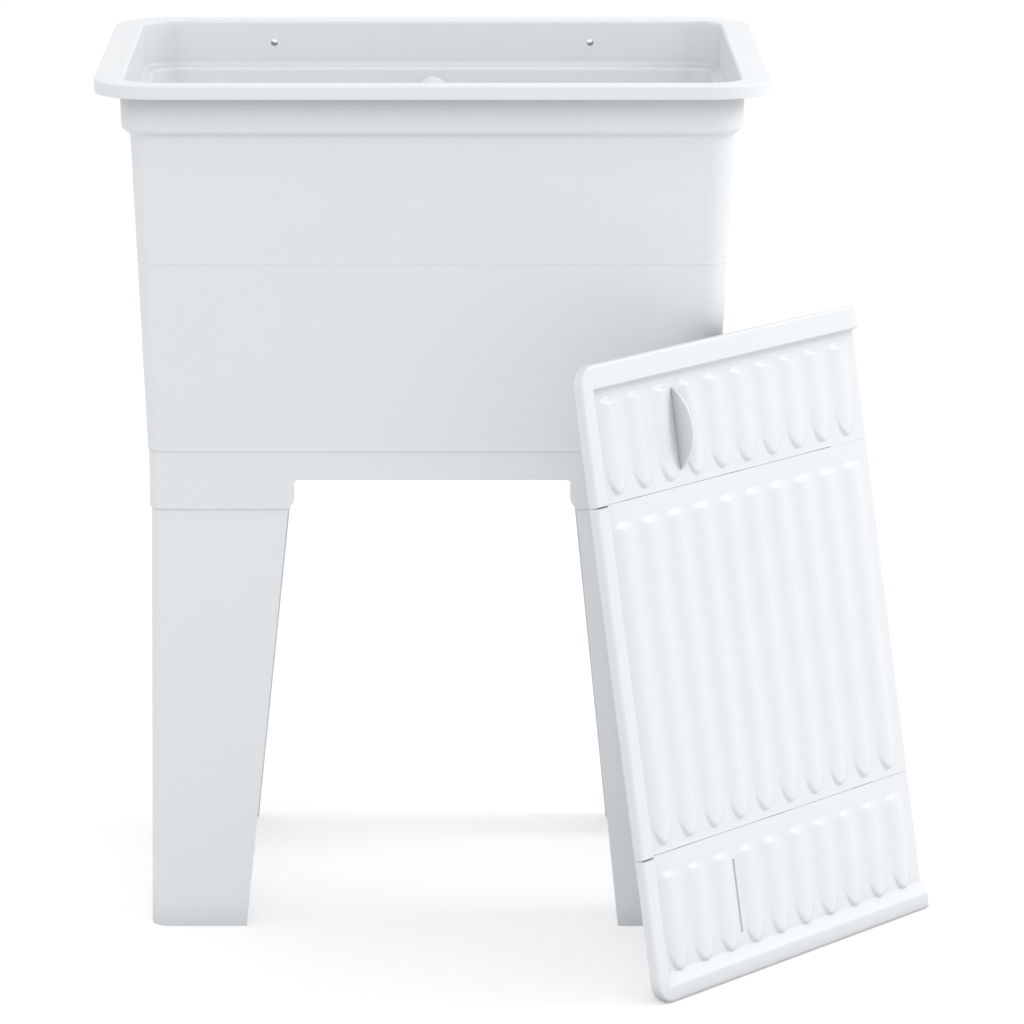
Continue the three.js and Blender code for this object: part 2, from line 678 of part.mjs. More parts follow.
function makeDrainBody() {
  const flangeZ = bodyTopSeatZ;
  const profile = [
    [tailRadius - tailWall, tailEndZ],
    [tailRadius, tailEndZ],
    [tailRadius, bodyFloorZ - 8],
    [bodyBore - 3, bodyFloorZ - 3],
    [bodyBore + bodyWall, bodyFloorZ + 4],
    [bodyBore + bodyWall, flangeZ - 6],
    [flangeRadius - 2, flangeZ - 4],
    [flangeRadius - 2, flangeZ],
    [bodyBore, flangeZ],
    [bodyBore, bodyFloorZ + 5],
    [bodyBore - 5, bodyFloorZ],
    [tailRadius - tailWall, bodyFloorZ - 4],
  ];
  let body = turned(profile);
  const socketStart = tailRadius - tailWall * 0.5;
  const along = (y) => new THREE.Vector3(0, y, pipeDrainZ);
  body = body.add(rod(along(socketStart), along(socketMouthY), socketOuter, 16));
  body = body.subtract(rod(along(0), along(socketMouthY - 5), pipeRadius - pipeWall, smallSides));
  const seat = along(socketMouthY - socketDepth - seatGap);
  body = body.subtract(rod(seat, along(socketMouthY + 5), bore(pipeRadius)));
  // bolt boss on three webs over the outlet
  const bossZ = spiderTopZ - boltLength + 1;
  body = body.add(post(0, 0, bossZ, spiderTopZ, boltRadius + 3.4));
  for (let i = 0; i < 3; i++) {
    const web = box(boltRadius + 1, bodyBore - 6, -1.4, 1.4, bodyFloorZ - 7, spiderTopZ - 1);
    body = body.add(moved(web, new THREE.Matrix4().makeRotationZ((i * 2 * Math.PI) / 3 + Math.PI / 6)));
  }
  return body.subtract(post(0, 0, bossZ - 5, spiderTopZ + 5, bore(boltRadius)));
}

function makeOutletNut() {
  const base = tailEndZ - seatGap * 2 - gasketThickness * 1.5 - nutFloor;
  const profile = [
    [tailRadius - 2.6, base],
    [nutRadius - 1.5, base],
    [nutRadius, base + 1.5],
    [nutRadius, base + nutLength],
    [tailRadius + seatGap, base + nutLength],
    [tailRadius + seatGap, base + nutFloor],
    [tailRadius - 2.6, base + nutFloor],
  ];
  let nut = turned(profile);
  for (let i = 0; i < 8; i++) {
    const grip = box(nutRadius - 1.5, nutRadius + 1.6, -2.4, 2.4, base + 2, base + nutLength);
    nut = nut.add(moved(grip, new THREE.Matrix4().makeRotationZ((i * Math.PI) / 4)));
  }
  return nut;
}

function makeOutletWasher() {
  const low = tailEndZ - seatGap - gasketThickness * 1.5;
  return gasketRing(tailRadius - tailWall, tailRadius - seatGap, low, tailEndZ - seatGap);
}

function makeDrainGasket(low) {
  return gasketRing(drainHoleRadius + 1.5, flangeRadius - 2, low, low + gasketThickness);
}

addPiece(sink, "drain_flange", makeDrainFlange(), steel);
addPiece(sink, "drain_bolt", makeDrainBolt(), steel);
addPiece(sink, "drain_gasket_upper", makeDrainGasket(drainSeatZ + seatGap), rubber);
addPiece(sink, "drain_gasket_lower", makeDrainGasket(bodyTopSeatZ + seatGap), rubber);
addPiece(sink, "drain_body", makeDrainBody(), pipePlastic);
addPiece(sink, "outlet_nut", makeOutletNut(), pipePlastic);
addPiece(sink, "outlet_washer", makeOutletWasher(), rubber);

// ---------------------------------------------------------------- lift-out basket strainer
const basketHoleCircle = 24;
const basketHoleRadius = 2.6;
const sealThickness = 1.5;
const basketRimZ = shoulderZ + sealThickness + 2 * seatGap;
const basketFloorZ = cupFloorZ + steelThickness + 4.6;
const stemRadius = 3.5;

function makeBasket() {
  const rimRadius = shoulderRadius - 1.6;
  const profile = [
    [stemRadius + seatGap, basketFloorZ],
    [cupInner - 7, basketFloorZ],
    [cupInner - 2.5, basketFloorZ + 4.5],
    [cupInner - 1.4, basketRimZ],
    [rimRadius, basketRimZ],
    [rimRadius, basketRimZ + 1],
    [cupInner - 2.4, basketRimZ + 1],
    [cupInner - 3.5, basketFloorZ + 5],
    [cupInner - 7.4, basketFloorZ + 1],
    [stemRadius + seatGap, basketFloorZ + 1],
  ];
  let basket = turned(profile);
  const [under, over] = [basketFloorZ - 4, basketFloorZ + 4];
  const outer = ringPost(10, basketHoleCircle, basketHoleRadius, under, over);
  const inner = ringPost(6, basketHoleCircle * 0.58, basketHoleRadius, under, over);
  for (const hole of [...outer, ...inner]) {
    basket = basket.subtract(hole);
  }
  return basket;
}

function makeKnob() {
  const foot = basketFloorZ - seatGap;
  const collar = basketFloorZ + 1 + seatGap;
  const knobZ = basketRimZ + 3;
  const profile = [
    [0, foot - 1.3],
    [stemRadius + 2.5, foot - 1.3],
    [stemRadius + 2.5, foot],
    [stemRadius, foot],
    [stemRadius, collar],
    [stemRadius + 2, collar],
    [stemRadius + 1, collar + 3],
    [stemRadius + 1, knobZ - 2],
    [9, knobZ + 1],
    [11, knobZ + 4],
    [9.5, knobZ + 7.5],
    [0, knobZ + 8.6],
  ];
  return turned(profile, 16);
}

function makeStrainerSeal() {
  const low = shoulderZ + seatGap;
  return gasketRing(cupInner + 0.4, shoulderRadius - 1.4, low, low + sealThickness);
}

addPiece(sink, "strainer_basket", makeBasket(), steel);
addPiece(sink, "strainer_knob", makeKnob(), rubber);
addPiece(sink, "strainer_seal", makeStrainerSeal(), rubber);

// ---------------------------------------------------------------- overflow
// Turned about the wall's own normal: heights run outwards from the middle of the wall.
function onWall(profile, sides = roundSides) {
  return moved(turned(profile, sides), new THREE.Matrix4().makeRotationX(-Math.PI / 2));
}

const wallFace = tubWall / 2 + seatGap;
const overflowGroup = new THREE.Group();
overflowGroup.position.set(0, overflowWallY, overflowZ);
overflowGroup.rotation.x = -overflowTilt;
sink.add(overflowGroup);

function makeRosette() {
  const face = -wallFace - rosetteDepth;
  const bore = overflowScrewRadius + seatGap;
  const profile = [
    [bore, face],
    [rosetteRadius * 0.6, face + 0.3],
    [rosetteRadius * 0.9, face + 2.1],
    [rosetteRadius, -wallFace],
    [rosetteRadius * 0.8, -wallFace],
    [rosetteRadius * 0.72, face + 2.6],
    [bore, face + 2.6],
  ];
  let rosette = onWall(profile);
  for (let i = 0; i < 6; i++) {
    const angle = (i * Math.PI) / 3;
    const at = (y) => new THREE.Vector3(8.3 * Math.cos(angle), y, 8.3 * Math.sin(angle));
    rosette = rosette.subtract(rod(at(face - 3), at(face + 6), 2.6, 8));
  }
  return rosette;
}

const overflowBossY = 9;

function makeOverflowScrew() {
  const seat = -wallFace - rosetteDepth - seatGap;
  const profile = [
    [0, seat - 2.2],
    [overflowScrewRadius * 1.4, seat - 2],
    [overflowScrewRadius * 2.1, seat],
    [overflowScrewRadius, seat],
    [overflowScrewRadius, overflowBossY + 8],
    [0, overflowBossY + 9],
  ];
  const head = onWall(profile, smallSides);
  return head.subtract(box(-6, 6, seat - 4, seat - 1.2, -0.5, 0.5));
}

const elbowFlangeY = wallFace + gasketThickness + seatGap;
const elbowBackY = pipeBackset + 12.5;
const chamberRadius = overflowHoleRadius + 0.4;
const socketMouth = chamberRadius + socketDepth + 7; // below the chamber's axis
const elbowFloor = 2.5;

// Cup behind the wall with a socket that points straight down
function makeOverflowElbow() {
  const outside = onWall([
    [0, elbowFlangeY],
    [rosetteRadius + 0.5, elbowFlangeY],
    [rosetteRadius + 0.5, elbowFlangeY + 2.2],
    [chamberRadius + 2.4, elbowFlangeY + 3.2],
    [chamberRadius + 2.4, elbowBackY - 2],
    [chamberRadius, elbowBackY],
    [0, elbowBackY],
  ]);
  const plumb = new THREE.Vector3(0, 0, -1).applyAxisAngle(new THREE.Vector3(1, 0, 0), overflowTilt);
  const below = (drop) => new THREE.Vector3(0, pipeBackset, 0).addScaledVector(plumb, drop);
  const outwards = (y) => new THREE.Vector3(0, y, 0);
  const seat = below(socketMouth - socketDepth - seatGap);
  let elbow = outside.add(rod(below(chamberRadius * 0.6), below(socketMouth), socketOuter, 16));
  elbow = elbow.subtract(rod(below(0), below(socketMouth - 5), pipeRadius - pipeWall));
  elbow = elbow.subtract(rod(seat, below(socketMouth + 5), bore(pipeRadius)));
  const room = rod(outwards(elbowFlangeY - 1), outwards(elbowBackY - elbowFloor), chamberRadius, roundSides);
  elbow = elbow.subtract(room);
  elbow = elbow.add(rod(outwards(overflowBossY), outwards(elbowBackY - 1), overflowScrewRadius + 2.6));
  const [boreFrom, boreTo] = [outwards(overflowBossY - 3), outwards(overflowBossY + 11)];
  return elbow.subtract(rod(boreFrom, boreTo, bore(overflowScrewRadius)));
}

function makeOverflowGasket() {
  return onWall([
    [chamberRadius, wallFace],
    [rosetteRadius - 1, wallFace],
    [rosetteRadius - 1, wallFace + gasketThickness],
    [chamberRadius, wallFace + gasketThickness],
  ]);
}

addPiece(overflowGroup, "overflow_rosette", makeRosette(), whitePlastic);
addPiece(overflowGroup, "overflow_screw", makeOverflowScrew(), steel);
addPiece(overflowGroup, "overflow_gasket", makeOverflowGasket(), rubber);
addPiece(overflowGroup, "overflow_elbow", makeOverflowElbow(), pipePlastic);

// Rigid pipe from the elbow's socket down the back of the tub to the drain body's socket
function pipeRoute() {
  const axis = new THREE.Vector3(0, pipeBackset, 0).applyMatrix4(overflowFrame);
  const top = new THREE.Vector3(0, axis.y, axis.z - socketMouth + socketDepth);
  const bendTop = new THREE.Vector3(0, axis.y, pipeDrainZ + pipeBend);
  const corner = new THREE.Vector3(0, axis.y, pipeDrainZ);
  const bendFoot = new THREE.Vector3(0, axis.y - pipeBend, pipeDrainZ);
  const end = new THREE.Vector3(0, socketMouthY - socketDepth, pipeDrainZ);
  const round = 0.5523;
  const bendStart = bendTop.clone().lerp(corner, round);
  const bendEnd = bendFoot.clone().lerp(corner, round);
  const route = new THREE.CurvePath();
  route.add(new THREE.LineCurve3(top, bendTop));
  route.add(new THREE.CubicBezierCurve3(bendTop, bendStart, bendEnd, bendFoot));
  route.add(new THREE.LineCurve3(bendFoot, end));
  return route;
}

function makeOverflowPipe() {
  const route = pipeRoute();
  const tube = (radius) => {
    const circle = new THREE.Shape();
    circle.absarc(0, 0, radius, 0, 2 * Math.PI, false);
    const options = { steps: 32, extrudePath: route, curveSegments: 5, bevelEnabled: false };
    return solidOf(new THREE.ExtrudeGeometry(circle, options));
  };
  const hollow = tube(pipeRadius).subtract(tube(pipeRadius - pipeWall));
  const top = route.getPointAt(0);
  const end = route.getPointAt(1);
  const down = new THREE.Vector3(0, 0, -1);
  const back = new THREE.Vector3(0, 1, 0);
  const bite = pipeRadius - pipeWall;
  const opened = hollow.subtract(rod(top.clone().addScaledVector(down, -1), top.clone().add(down), bite, 10));
  return opened.subtract(rod(end.clone().addScaledVector(back, -1), end.clone().add(back), bite, 10));
}

addPiece(sink, "overflow_pipe", makeOverflowPipe(), pipePlastic);

// ---------------------------------------------------------------- washboard
// Board coordinates: X across from its left edge, Y up along the board, Z out of its face.
// The raised borders' face is at 0, the back at -boardThickness.
const lowerFold = bottomFlapLength;
const upperFold = boardLength - topFlapLength;
const backZ = -boardThickness;
const recessZ = -recessDepth;
const hingeZ = backZ - knuckleRadius - 0.4;

function level(outline, z) {
  return outline.map(([x, y]) => new THREE.Vector3(x, y, z));
}

// Quarter circle of points about a centre, from one angle on
function quarter(x, y, radius, from) {
  return Array.from({ length: cornerSteps + 1 }, (_, i) => {
    const angle = from + (i / cornerSteps) * (Math.PI / 2);
    return [x + radius * Math.cos(angle), y + radius * Math.sin(angle)];
  });
}

// Outline of a section drawn in by an inset; only free left corners are rounded
function sectionOutline({ low, high, barLow, barHigh }, inset) {
  const shy = Math.min(inset, foldRound);
  const bottom = low + (barLow ? inset : shy);
  const top = high - (barHigh ? inset : shy);
  const centre = boardCornerRadius;
  const radius = centre - inset;
  const lowLeft = barLow ? quarter(centre, low + centre, radius, Math.PI) : [[inset, bottom]];
  const highLeft = barHigh ? quarter(centre, high - centre, radius, Math.PI / 2) : [[inset, top]];
  return [[boardWidth - inset, bottom], [boardWidth - inset, top], ...highLeft, ...lowLeft];
}

// The recess runs out over the right edge, and over an edge where the board folds.
function recess({ low, high, barLow, barHigh }) {
  const ring = (z) => {
    const left = sideBorder - z;
    const bottom = barLow ? low + endBar - z : low - 5;
    const top = barHigh ? high - endBar + z : high + 5;
    return level([[left, bottom], [boardWidth + 5, bottom], [boardWidth + 5, top], [left, top]], z);
  };
  return loft([ring(recessZ), ring(1)]);
}

// Hollow behind the raised borders, open at the back, with walls parallel to the face
function backChannel({ low, high, barLow, barHigh }) {
  const wall = boardSheet;
  const skin = boardSheet * Math.SQRT2;
  const cut = boardCornerRadius * 0.6;
  const ring = (z) => {
    const inner = sideBorder - skin - z;
    const across = endBar - skin - z;
    const right = boardWidth - wall;
    const [bottom, top] = [low + wall, high - wall];
    if (barHigh) {
      const shelf = high - across;
      const ends = [[right, shelf], [right, top], [cut, top], [wall, high - cut]];
      return level([[wall, bottom], [inner, bottom], [inner, shelf], ...ends], z);
    }
    if (barLow) {
      const shelf = low + across;
      const ends = [[wall, top], [wall, low + cut], [cut, bottom], [right, bottom], [right, shelf]];
      return level([...ends, [inner, shelf], [inner, top]], z);
    }
    return level([[wall, bottom], [inner, bottom], [inner, top], [wall, top]], z);
  };
  return loft([ring(backZ - 1), ring(-wall)]);
}

// Long rounded scrubbing rib, its foot sunk into the sheet
function washRib(u, from, to) {
  const ring = (inset, z) => {
    const half = washRibWidth / 2 - inset;
    const [bottom, top] = [from + inset, to - inset];
    const bend = half * 0.6;
    return level(
      [[u - bend, bottom], [u + bend, bottom], [u + half, bottom + bend], [u + half, top - bend],
        [u + bend, top], [u - bend, top], [u - half, top - bend], [u - half, bottom + bend]],
      z,
    );
  };
  const rise = (share) => recessZ + washRibHeight * share;
  const flank = ring(washRibWidth * 0.11, rise(0.62));
  return loft([ring(0, rise(-0.25)), ring(0, rise(0)), flank, ring(washRibWidth * 0.28, rise(1))]);
}

function boardSection(section) {
  const rings = [
    [backZ, backChamfer],
    [backZ + backChamfer, 0],
    [-faceRound, 0],
    [-faceRound * 0.3, faceRound * 0.3],
    [0, faceRound],
  ];
  let body = loft(rings.map(([z, inset]) => level(sectionOutline(section, inset), z)));
  body = body.subtract(recess(section)).subtract(backChannel(section));
  for (let i = 0; i < washRibCount; i++) {
    body = body.add(washRib(firstRibU + i * washRibPitch, section.ribLow, section.ribHigh));
  }
  return body;
}

// Turns an outline in [v, z], pushed up, so that it runs across the board
const acrossBoard = new THREE.Matrix4().makeBasis(
  new THREE.Vector3(0, 1, 0),
  new THREE.Vector3(0, 0, 1),
  new THREE.Vector3(1, 0, 0),
);

// Knuckle behind the sheet with a web to its own side of the fold
function knuckle(u, fold, side) {
  const from = new THREE.Vector3(u, fold, hingeZ);
  const to = new THREE.Vector3(u + knuckleWidth, fold, hingeZ);
  const web = [
    [fold, hingeZ - knuckleRadius * 0.98],
    [fold + side * 10, backZ],
    [fold + side * 10, backZ + 1],
    [fold + side * 0.9, backZ + 1],
    [fold, hingeZ],
  ];
  const outline = side > 0 ? web : web.reverse();
  return rod(from, to, knuckleRadius, 10).add(moved(plate(outline, u, u + knuckleWidth), acrossBoard));
}

// Each station has three knuckles; the slots say which of them this section carries
function addHinge(solid, fold, side, slots) {
  let result = solid;
  for (const station of hingeStations) {
    for (const slot of slots) {
      result = result.add(knuckle(station + slot * (knuckleWidth + knuckleGap), fold, side));
    }
  }
  const from = new THREE.Vector3(0, fold, hingeZ);
  const to = new THREE.Vector3(boardWidth, fold, hingeZ);
  return result.subtract(rod(from, to, bore(hingePinRadius, 6), 6));
}

// Deep rib behind an end bar that drops inside the basin when the board lies across the rim
function stopRib(v) {
  const side = 20.5;
  return box(side, boardWidth - 6, v, v + stopRibWidth, backZ - stopRibDepth, -boardSheet * 0.5);
}

const tabV = boardLength - tabCentreFromEnd;

function tabSlot(u, centre, length) {
  const half = tabThickness / 2 + seatGap;
  const reach = length / 2;
  return box(u - half, u + half, centre - reach, centre + reach, backZ - 2, 1);
}

function makeTopFlap() {
  const section = {
    low: upperFold + foldGap / 2,
    high: boardLength,
    ribLow: upperFold + washRibEndGap,
    ribHigh: boardLength - endBar - recessDepth - 5,
    barHigh: true,
  };
  const flap = addHinge(boardSection(section), upperFold, 1, [1]);
  const slot = tabSlot(tabU, tabV, tangLength + 2 * seatGap);
  return flap.add(stopRib(boardLength - stopRibInset - stopRibWidth)).subtract(slot);
}

function makeBottomFlap() {
  const section = {
    low: 0,
    high: lowerFold - foldGap / 2,
    ribLow: endBar + recessDepth + 1,
    ribHigh: lowerFold - washRibEndGap * 1.8,
    barLow: true,
  };
  const flap = addHinge(boardSection(section), lowerFold, -1, [1]);
  return flap.add(stopRib(stopRibInset)).subtract(tabSlot(slotU, slotCentreFromEnd, slotLength));
}

function makeMiddle() {
  const section = {
    low: lowerFold + foldGap / 2,
    high: upperFold - foldGap / 2,
    ribLow: lowerFold + washRibEndGap * 1.2,
    ribHigh: upperFold - washRibEndGap * 2,
  };
  const middle = addHinge(boardSection(section), lowerFold, 1, [0, 2]);
  return addHinge(middle, upperFold, -1, [0, 2]);
}

function makeHingePin(fold) {
  const reach = 3 * (knuckleWidth + knuckleGap) - knuckleGap;
  const last = hingeStations[hingeStations.length - 1];
  const from = new THREE.Vector3(hingeStations[0] + 1, fold, hingeZ);
  const to = new THREE.Vector3(last + reach - 1, fold, hingeZ);
  return rod(from, to, hingePinRadius, 8);
}

// Half-moon tab that stands on the sheet, with a tang down through the slot
function makeTab() {
  const half = tabChord / 2;
  const foot = recessZ + seatGap;
  const radius = (half * half + tabHeight * tabHeight) / (2 * tabHeight);
  const sweep = Math.asin(half / radius);
  const steps = 14;
  const outline = Array.from({ length: steps + 1 }, (_, i) => {
    const angle = -sweep + (2 * sweep * i) / steps;
    return [radius * Math.sin(angle), foot + tabHeight - radius + radius * Math.cos(angle)];
  });
  const tang = tangLength / 2;
  outline.push([tang, foot], [tang - 1, backZ - 2.5], [1 - tang, backZ - 2.5], [-tang, foot]);
  const blade = plate(outline.reverse(), -tabThickness / 2, tabThickness / 2);
  return moved(blade, new THREE.Matrix4().makeTranslation(tabU, tabV, 0).multiply(acrossBoard));
}

// The board leans so that the top stop rib's back edge meets the tub's front right corner.
function boardFrame() {
  const yaw = THREE.MathUtils.degToRad(boardYaw);
  const lean = THREE.MathUtils.degToRad(boardLean);
  const touchV = boardLength - stopRibInset;
  const touchDepth = boardThickness + stopRibDepth;
  const footZ = (boardThickness - backChamfer) * Math.sin(lean);
  const touchZ = footZ + touchV * Math.cos(lean) - touchDepth * Math.sin(lean);
  const setback = bodySetback(touchZ);
  const radius = bodyRadius(touchZ);
  const along = new THREE.Vector3(Math.cos(yaw), Math.sin(yaw), 0);
  const inward = new THREE.Vector3(-Math.sin(yaw), Math.cos(yaw), 0);
  const corner = new THREE.Vector3(rimWidth / 2 - setback - radius, -rimDepth / 2 + setback + radius, 0);
  const touch = corner.addScaledVector(inward, -radius - boardRestGap);
  const back = touchV * Math.sin(lean) + touchDepth * Math.cos(lean);
  const foot = touch.addScaledVector(inward, -back).addScaledVector(along, -boardTouchU);
  const group = new THREE.Group();
  group.position.set(foot.x, foot.y, footZ);
  group.rotation.z = yaw;
  const leaning = new THREE.Group();
  leaning.rotation.x = Math.PI / 2 - lean;
  group.add(leaning);
  sink.add(group);
  return leaning;
}

const board = boardFrame();
addPiece(board, "washboard_middle", makeMiddle(), boardPlastic);
addPiece(board, "washboard_top_flap", makeTopFlap(), boardPlastic);
addPiece(board, "washboard_bottom_flap", makeBottomFlap(), boardPlastic);
addPiece(board, "upper_hinge_pin", makeHingePin(upperFold), steel);
addPiece(board, "lower_hinge_pin", makeHingePin(lowerFold), steel);
addPiece(board, "half_moon_tab", makeTab(), boardPlastic);

// ---------------------------------------------------------------- origin at the middle of the base
const part = new THREE.Group();
part.add(sink);
part.updateMatrixWorld(true);
const bounds = new THREE.Box3().setFromObject(part, true);
const middle = bounds.getCenter(new THREE.Vector3());
sink.position.set(-middle.x, -middle.y, -bounds.min.z);

export default part;
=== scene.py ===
"""Looks of a white moulded laundry sink with a ribbed board leaning on its front corner.

Shapes are drawn in millimetres, in the sink's own place (its centre line on Z, the floor at 0) or
in the board's, and put into the frame, in metres, when they are finished.
"""

import json
import math
from collections import namedtuple

import bmesh
import bpy
from mathutils import Matrix, Vector

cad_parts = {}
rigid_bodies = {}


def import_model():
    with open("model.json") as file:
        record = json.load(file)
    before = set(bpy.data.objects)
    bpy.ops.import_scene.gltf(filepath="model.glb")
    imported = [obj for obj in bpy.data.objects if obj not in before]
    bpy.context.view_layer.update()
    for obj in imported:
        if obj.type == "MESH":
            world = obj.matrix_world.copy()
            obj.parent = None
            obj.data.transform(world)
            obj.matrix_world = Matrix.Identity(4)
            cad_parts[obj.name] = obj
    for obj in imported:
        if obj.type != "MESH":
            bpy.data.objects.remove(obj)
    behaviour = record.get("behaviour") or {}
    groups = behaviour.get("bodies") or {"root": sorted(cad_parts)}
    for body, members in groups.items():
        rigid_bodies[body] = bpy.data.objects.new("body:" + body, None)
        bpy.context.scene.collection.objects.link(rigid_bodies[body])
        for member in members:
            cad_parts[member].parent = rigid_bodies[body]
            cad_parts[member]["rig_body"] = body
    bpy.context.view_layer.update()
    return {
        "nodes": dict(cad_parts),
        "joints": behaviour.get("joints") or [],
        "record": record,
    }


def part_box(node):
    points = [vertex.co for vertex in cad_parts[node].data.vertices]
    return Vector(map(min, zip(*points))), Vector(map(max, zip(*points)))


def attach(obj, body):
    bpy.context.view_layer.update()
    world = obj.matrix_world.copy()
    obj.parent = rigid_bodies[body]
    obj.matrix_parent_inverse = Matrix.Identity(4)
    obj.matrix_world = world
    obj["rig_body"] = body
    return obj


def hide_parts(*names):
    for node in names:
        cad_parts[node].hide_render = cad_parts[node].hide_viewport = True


MM = 0.001
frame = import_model()

# ---------------- places taken from the frame
tub_low, tub_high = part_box("tub")
SINK = Vector(((tub_low.x + tub_high.x) / 2, (tub_low.y + tub_high.y) / 2, 0))
IN_SINK = Matrix.Translation(SINK) @ Matrix.Scale(MM, 4)


def in_sink(node):
    """Lowest and highest corner of a node, in millimetres from the sink's centre line."""
    low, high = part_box(node)
    return (low - SINK) / MM, (high - SINK) / MM


def middle_of(node):
    low, high = in_sink(node)
    return (low.x + high.x) / 2, (low.y + high.y) / 2


# rim
RIM_W = (tub_high.x - tub_low.x) / MM
RIM_D = (tub_high.y - tub_low.y) / MM
RIM_Z = tub_high.z / MM
CORNER_R = 60
BAND = 28.7
LIP_DROP = 13
LIP_WALL = 3.6
WALL = 4

# skirt, body and apron, as setbacks from the rim's outer edge
SKIRT = BAND - WALL
SKIRT_Z = RIM_Z - 46
SKIRT_TAPER = 1.3
BODY_TOP = SKIRT + SKIRT_TAPER + 8.6
BODY_TOP_Z = SKIRT_Z - 11
BODY_FOOT_Z = RIM_Z - 363
BODY_TAPER = 13.2
BODY_TOP_R = 26
BODY_FOOT_R = 18
STEP_Z = RIM_Z - 178
APRON = BODY_TOP + BODY_TAPER + 1.1
APRON_R = 18
APRON_WALL = 3.2
APRON_Z = BODY_FOOT_Z - 30
COLLAR_Z = tub_low.z / MM

# floor and fittings
FLOOR_Z = BODY_FOOT_Z + 18
FLOOR_T = 4.5
SEAT_Z = FLOOR_Z - 11.5
SEAT_R = 62
DRAIN_R = 45
NOTCH_FLARE = 6
WALL_HOLE_X = 163
WALL_HOLE_Z = RIM_Z - 23.2
WALL_HOLE_R = 3.5
WALL_BOSS_R = 8
OVERFLOW_Z = RIM_Z - 74
OVERFLOW_R = 13
GAP = 0.3
LEG_CORNER = in_sink("leg_front_left")[1]
LEG_TOP = LEG_CORNER.z
LEG_BOSS_R = 8
LEG_PILOT_R = 2.8
LEG_PILOT_DEPTH = 14.5

# board
BOARD_W = 430
BOARD_L = 609.3
BOARD_T = 10.5
SHEET = 2.4
FACE_LEVEL = -0.03
RECESS = BOARD_T - SHEET
SIDE_BORDER = 16.5
TOP_BAR = 22.2
TOP_WALL_REACH = 6
LOW_BAR = 15
LOW_WALL_SLOPE = 0.74
BOARD_R = 20
FACE_ROUND = 2.7
FOLD_ROUND = 0.8
LOWER_FOLD = 139.3
UPPER_FOLD = 476.3
FOLD_GAP = 0.5
FOLD_U = 216
KNUCKLE_R = 2.9
KNUCKLE_W = 10
KNUCKLE_GAP = 0.5
HINGE_STATIONS = (55, 200, 345)
HINGE_Z = -BOARD_T - KNUCKLE_R - 0.4
PIN_R = 1.2
RIB_COUNT = 10
FIRST_RIB = 43
RIB_PITCH = 39.7
RIB_HEIGHT = 3.6
RIB_END = 9
NOSE_LENGTH = 5
NOSE_BOW = 0.09
STOP_RIB_DEPTH = 15.7
STOP_RIB_INSET = 12
STOP_RIB_W = 3
TAB_U = 139.5
TAB_V = BOARD_L - 78
TAB_CHORD = 80
TAB_HEIGHT = 20.5
TAB_T = 2.4
TANG = 67
SLOT_U = 142
SLOT_V = 75.5
SLOT_LENGTH = 71.4


def board_place():
    """Board coordinates: x across from the solid border, y up the board, z out of its face."""
    folds = {joint["name"]: joint for joint in frame["joints"]}
    upper = Vector(folds["top_flap_fold"]["pos_m"])
    lower = Vector(folds["bottom_flap_fold"]["pos_m"])
    across = Vector(folds["bottom_flap_fold"]["axis"]).normalized()
    up = (upper - lower).normalized()
    out = across.cross(up).normalized()
    origin = lower - (across * FOLD_U + up * LOWER_FOLD + out * HINGE_Z) * MM
    turn = Matrix((across, up, out)).transposed().to_4x4()
    return Matrix.Translation(origin) @ turn


ON_BOARD = board_place() @ Matrix.Scale(MM, 4)

# ---------------- finishes
WHITE = (0.86, 0.884, 0.908)
GREY_PIPE = (0.62, 0.63, 0.64)


def add_sockets(tree, in_out, kind, *names):
    for name in names:
        tree.interface.new_socket(name, in_out=in_out, socket_type=f"NodeSocket{kind}")


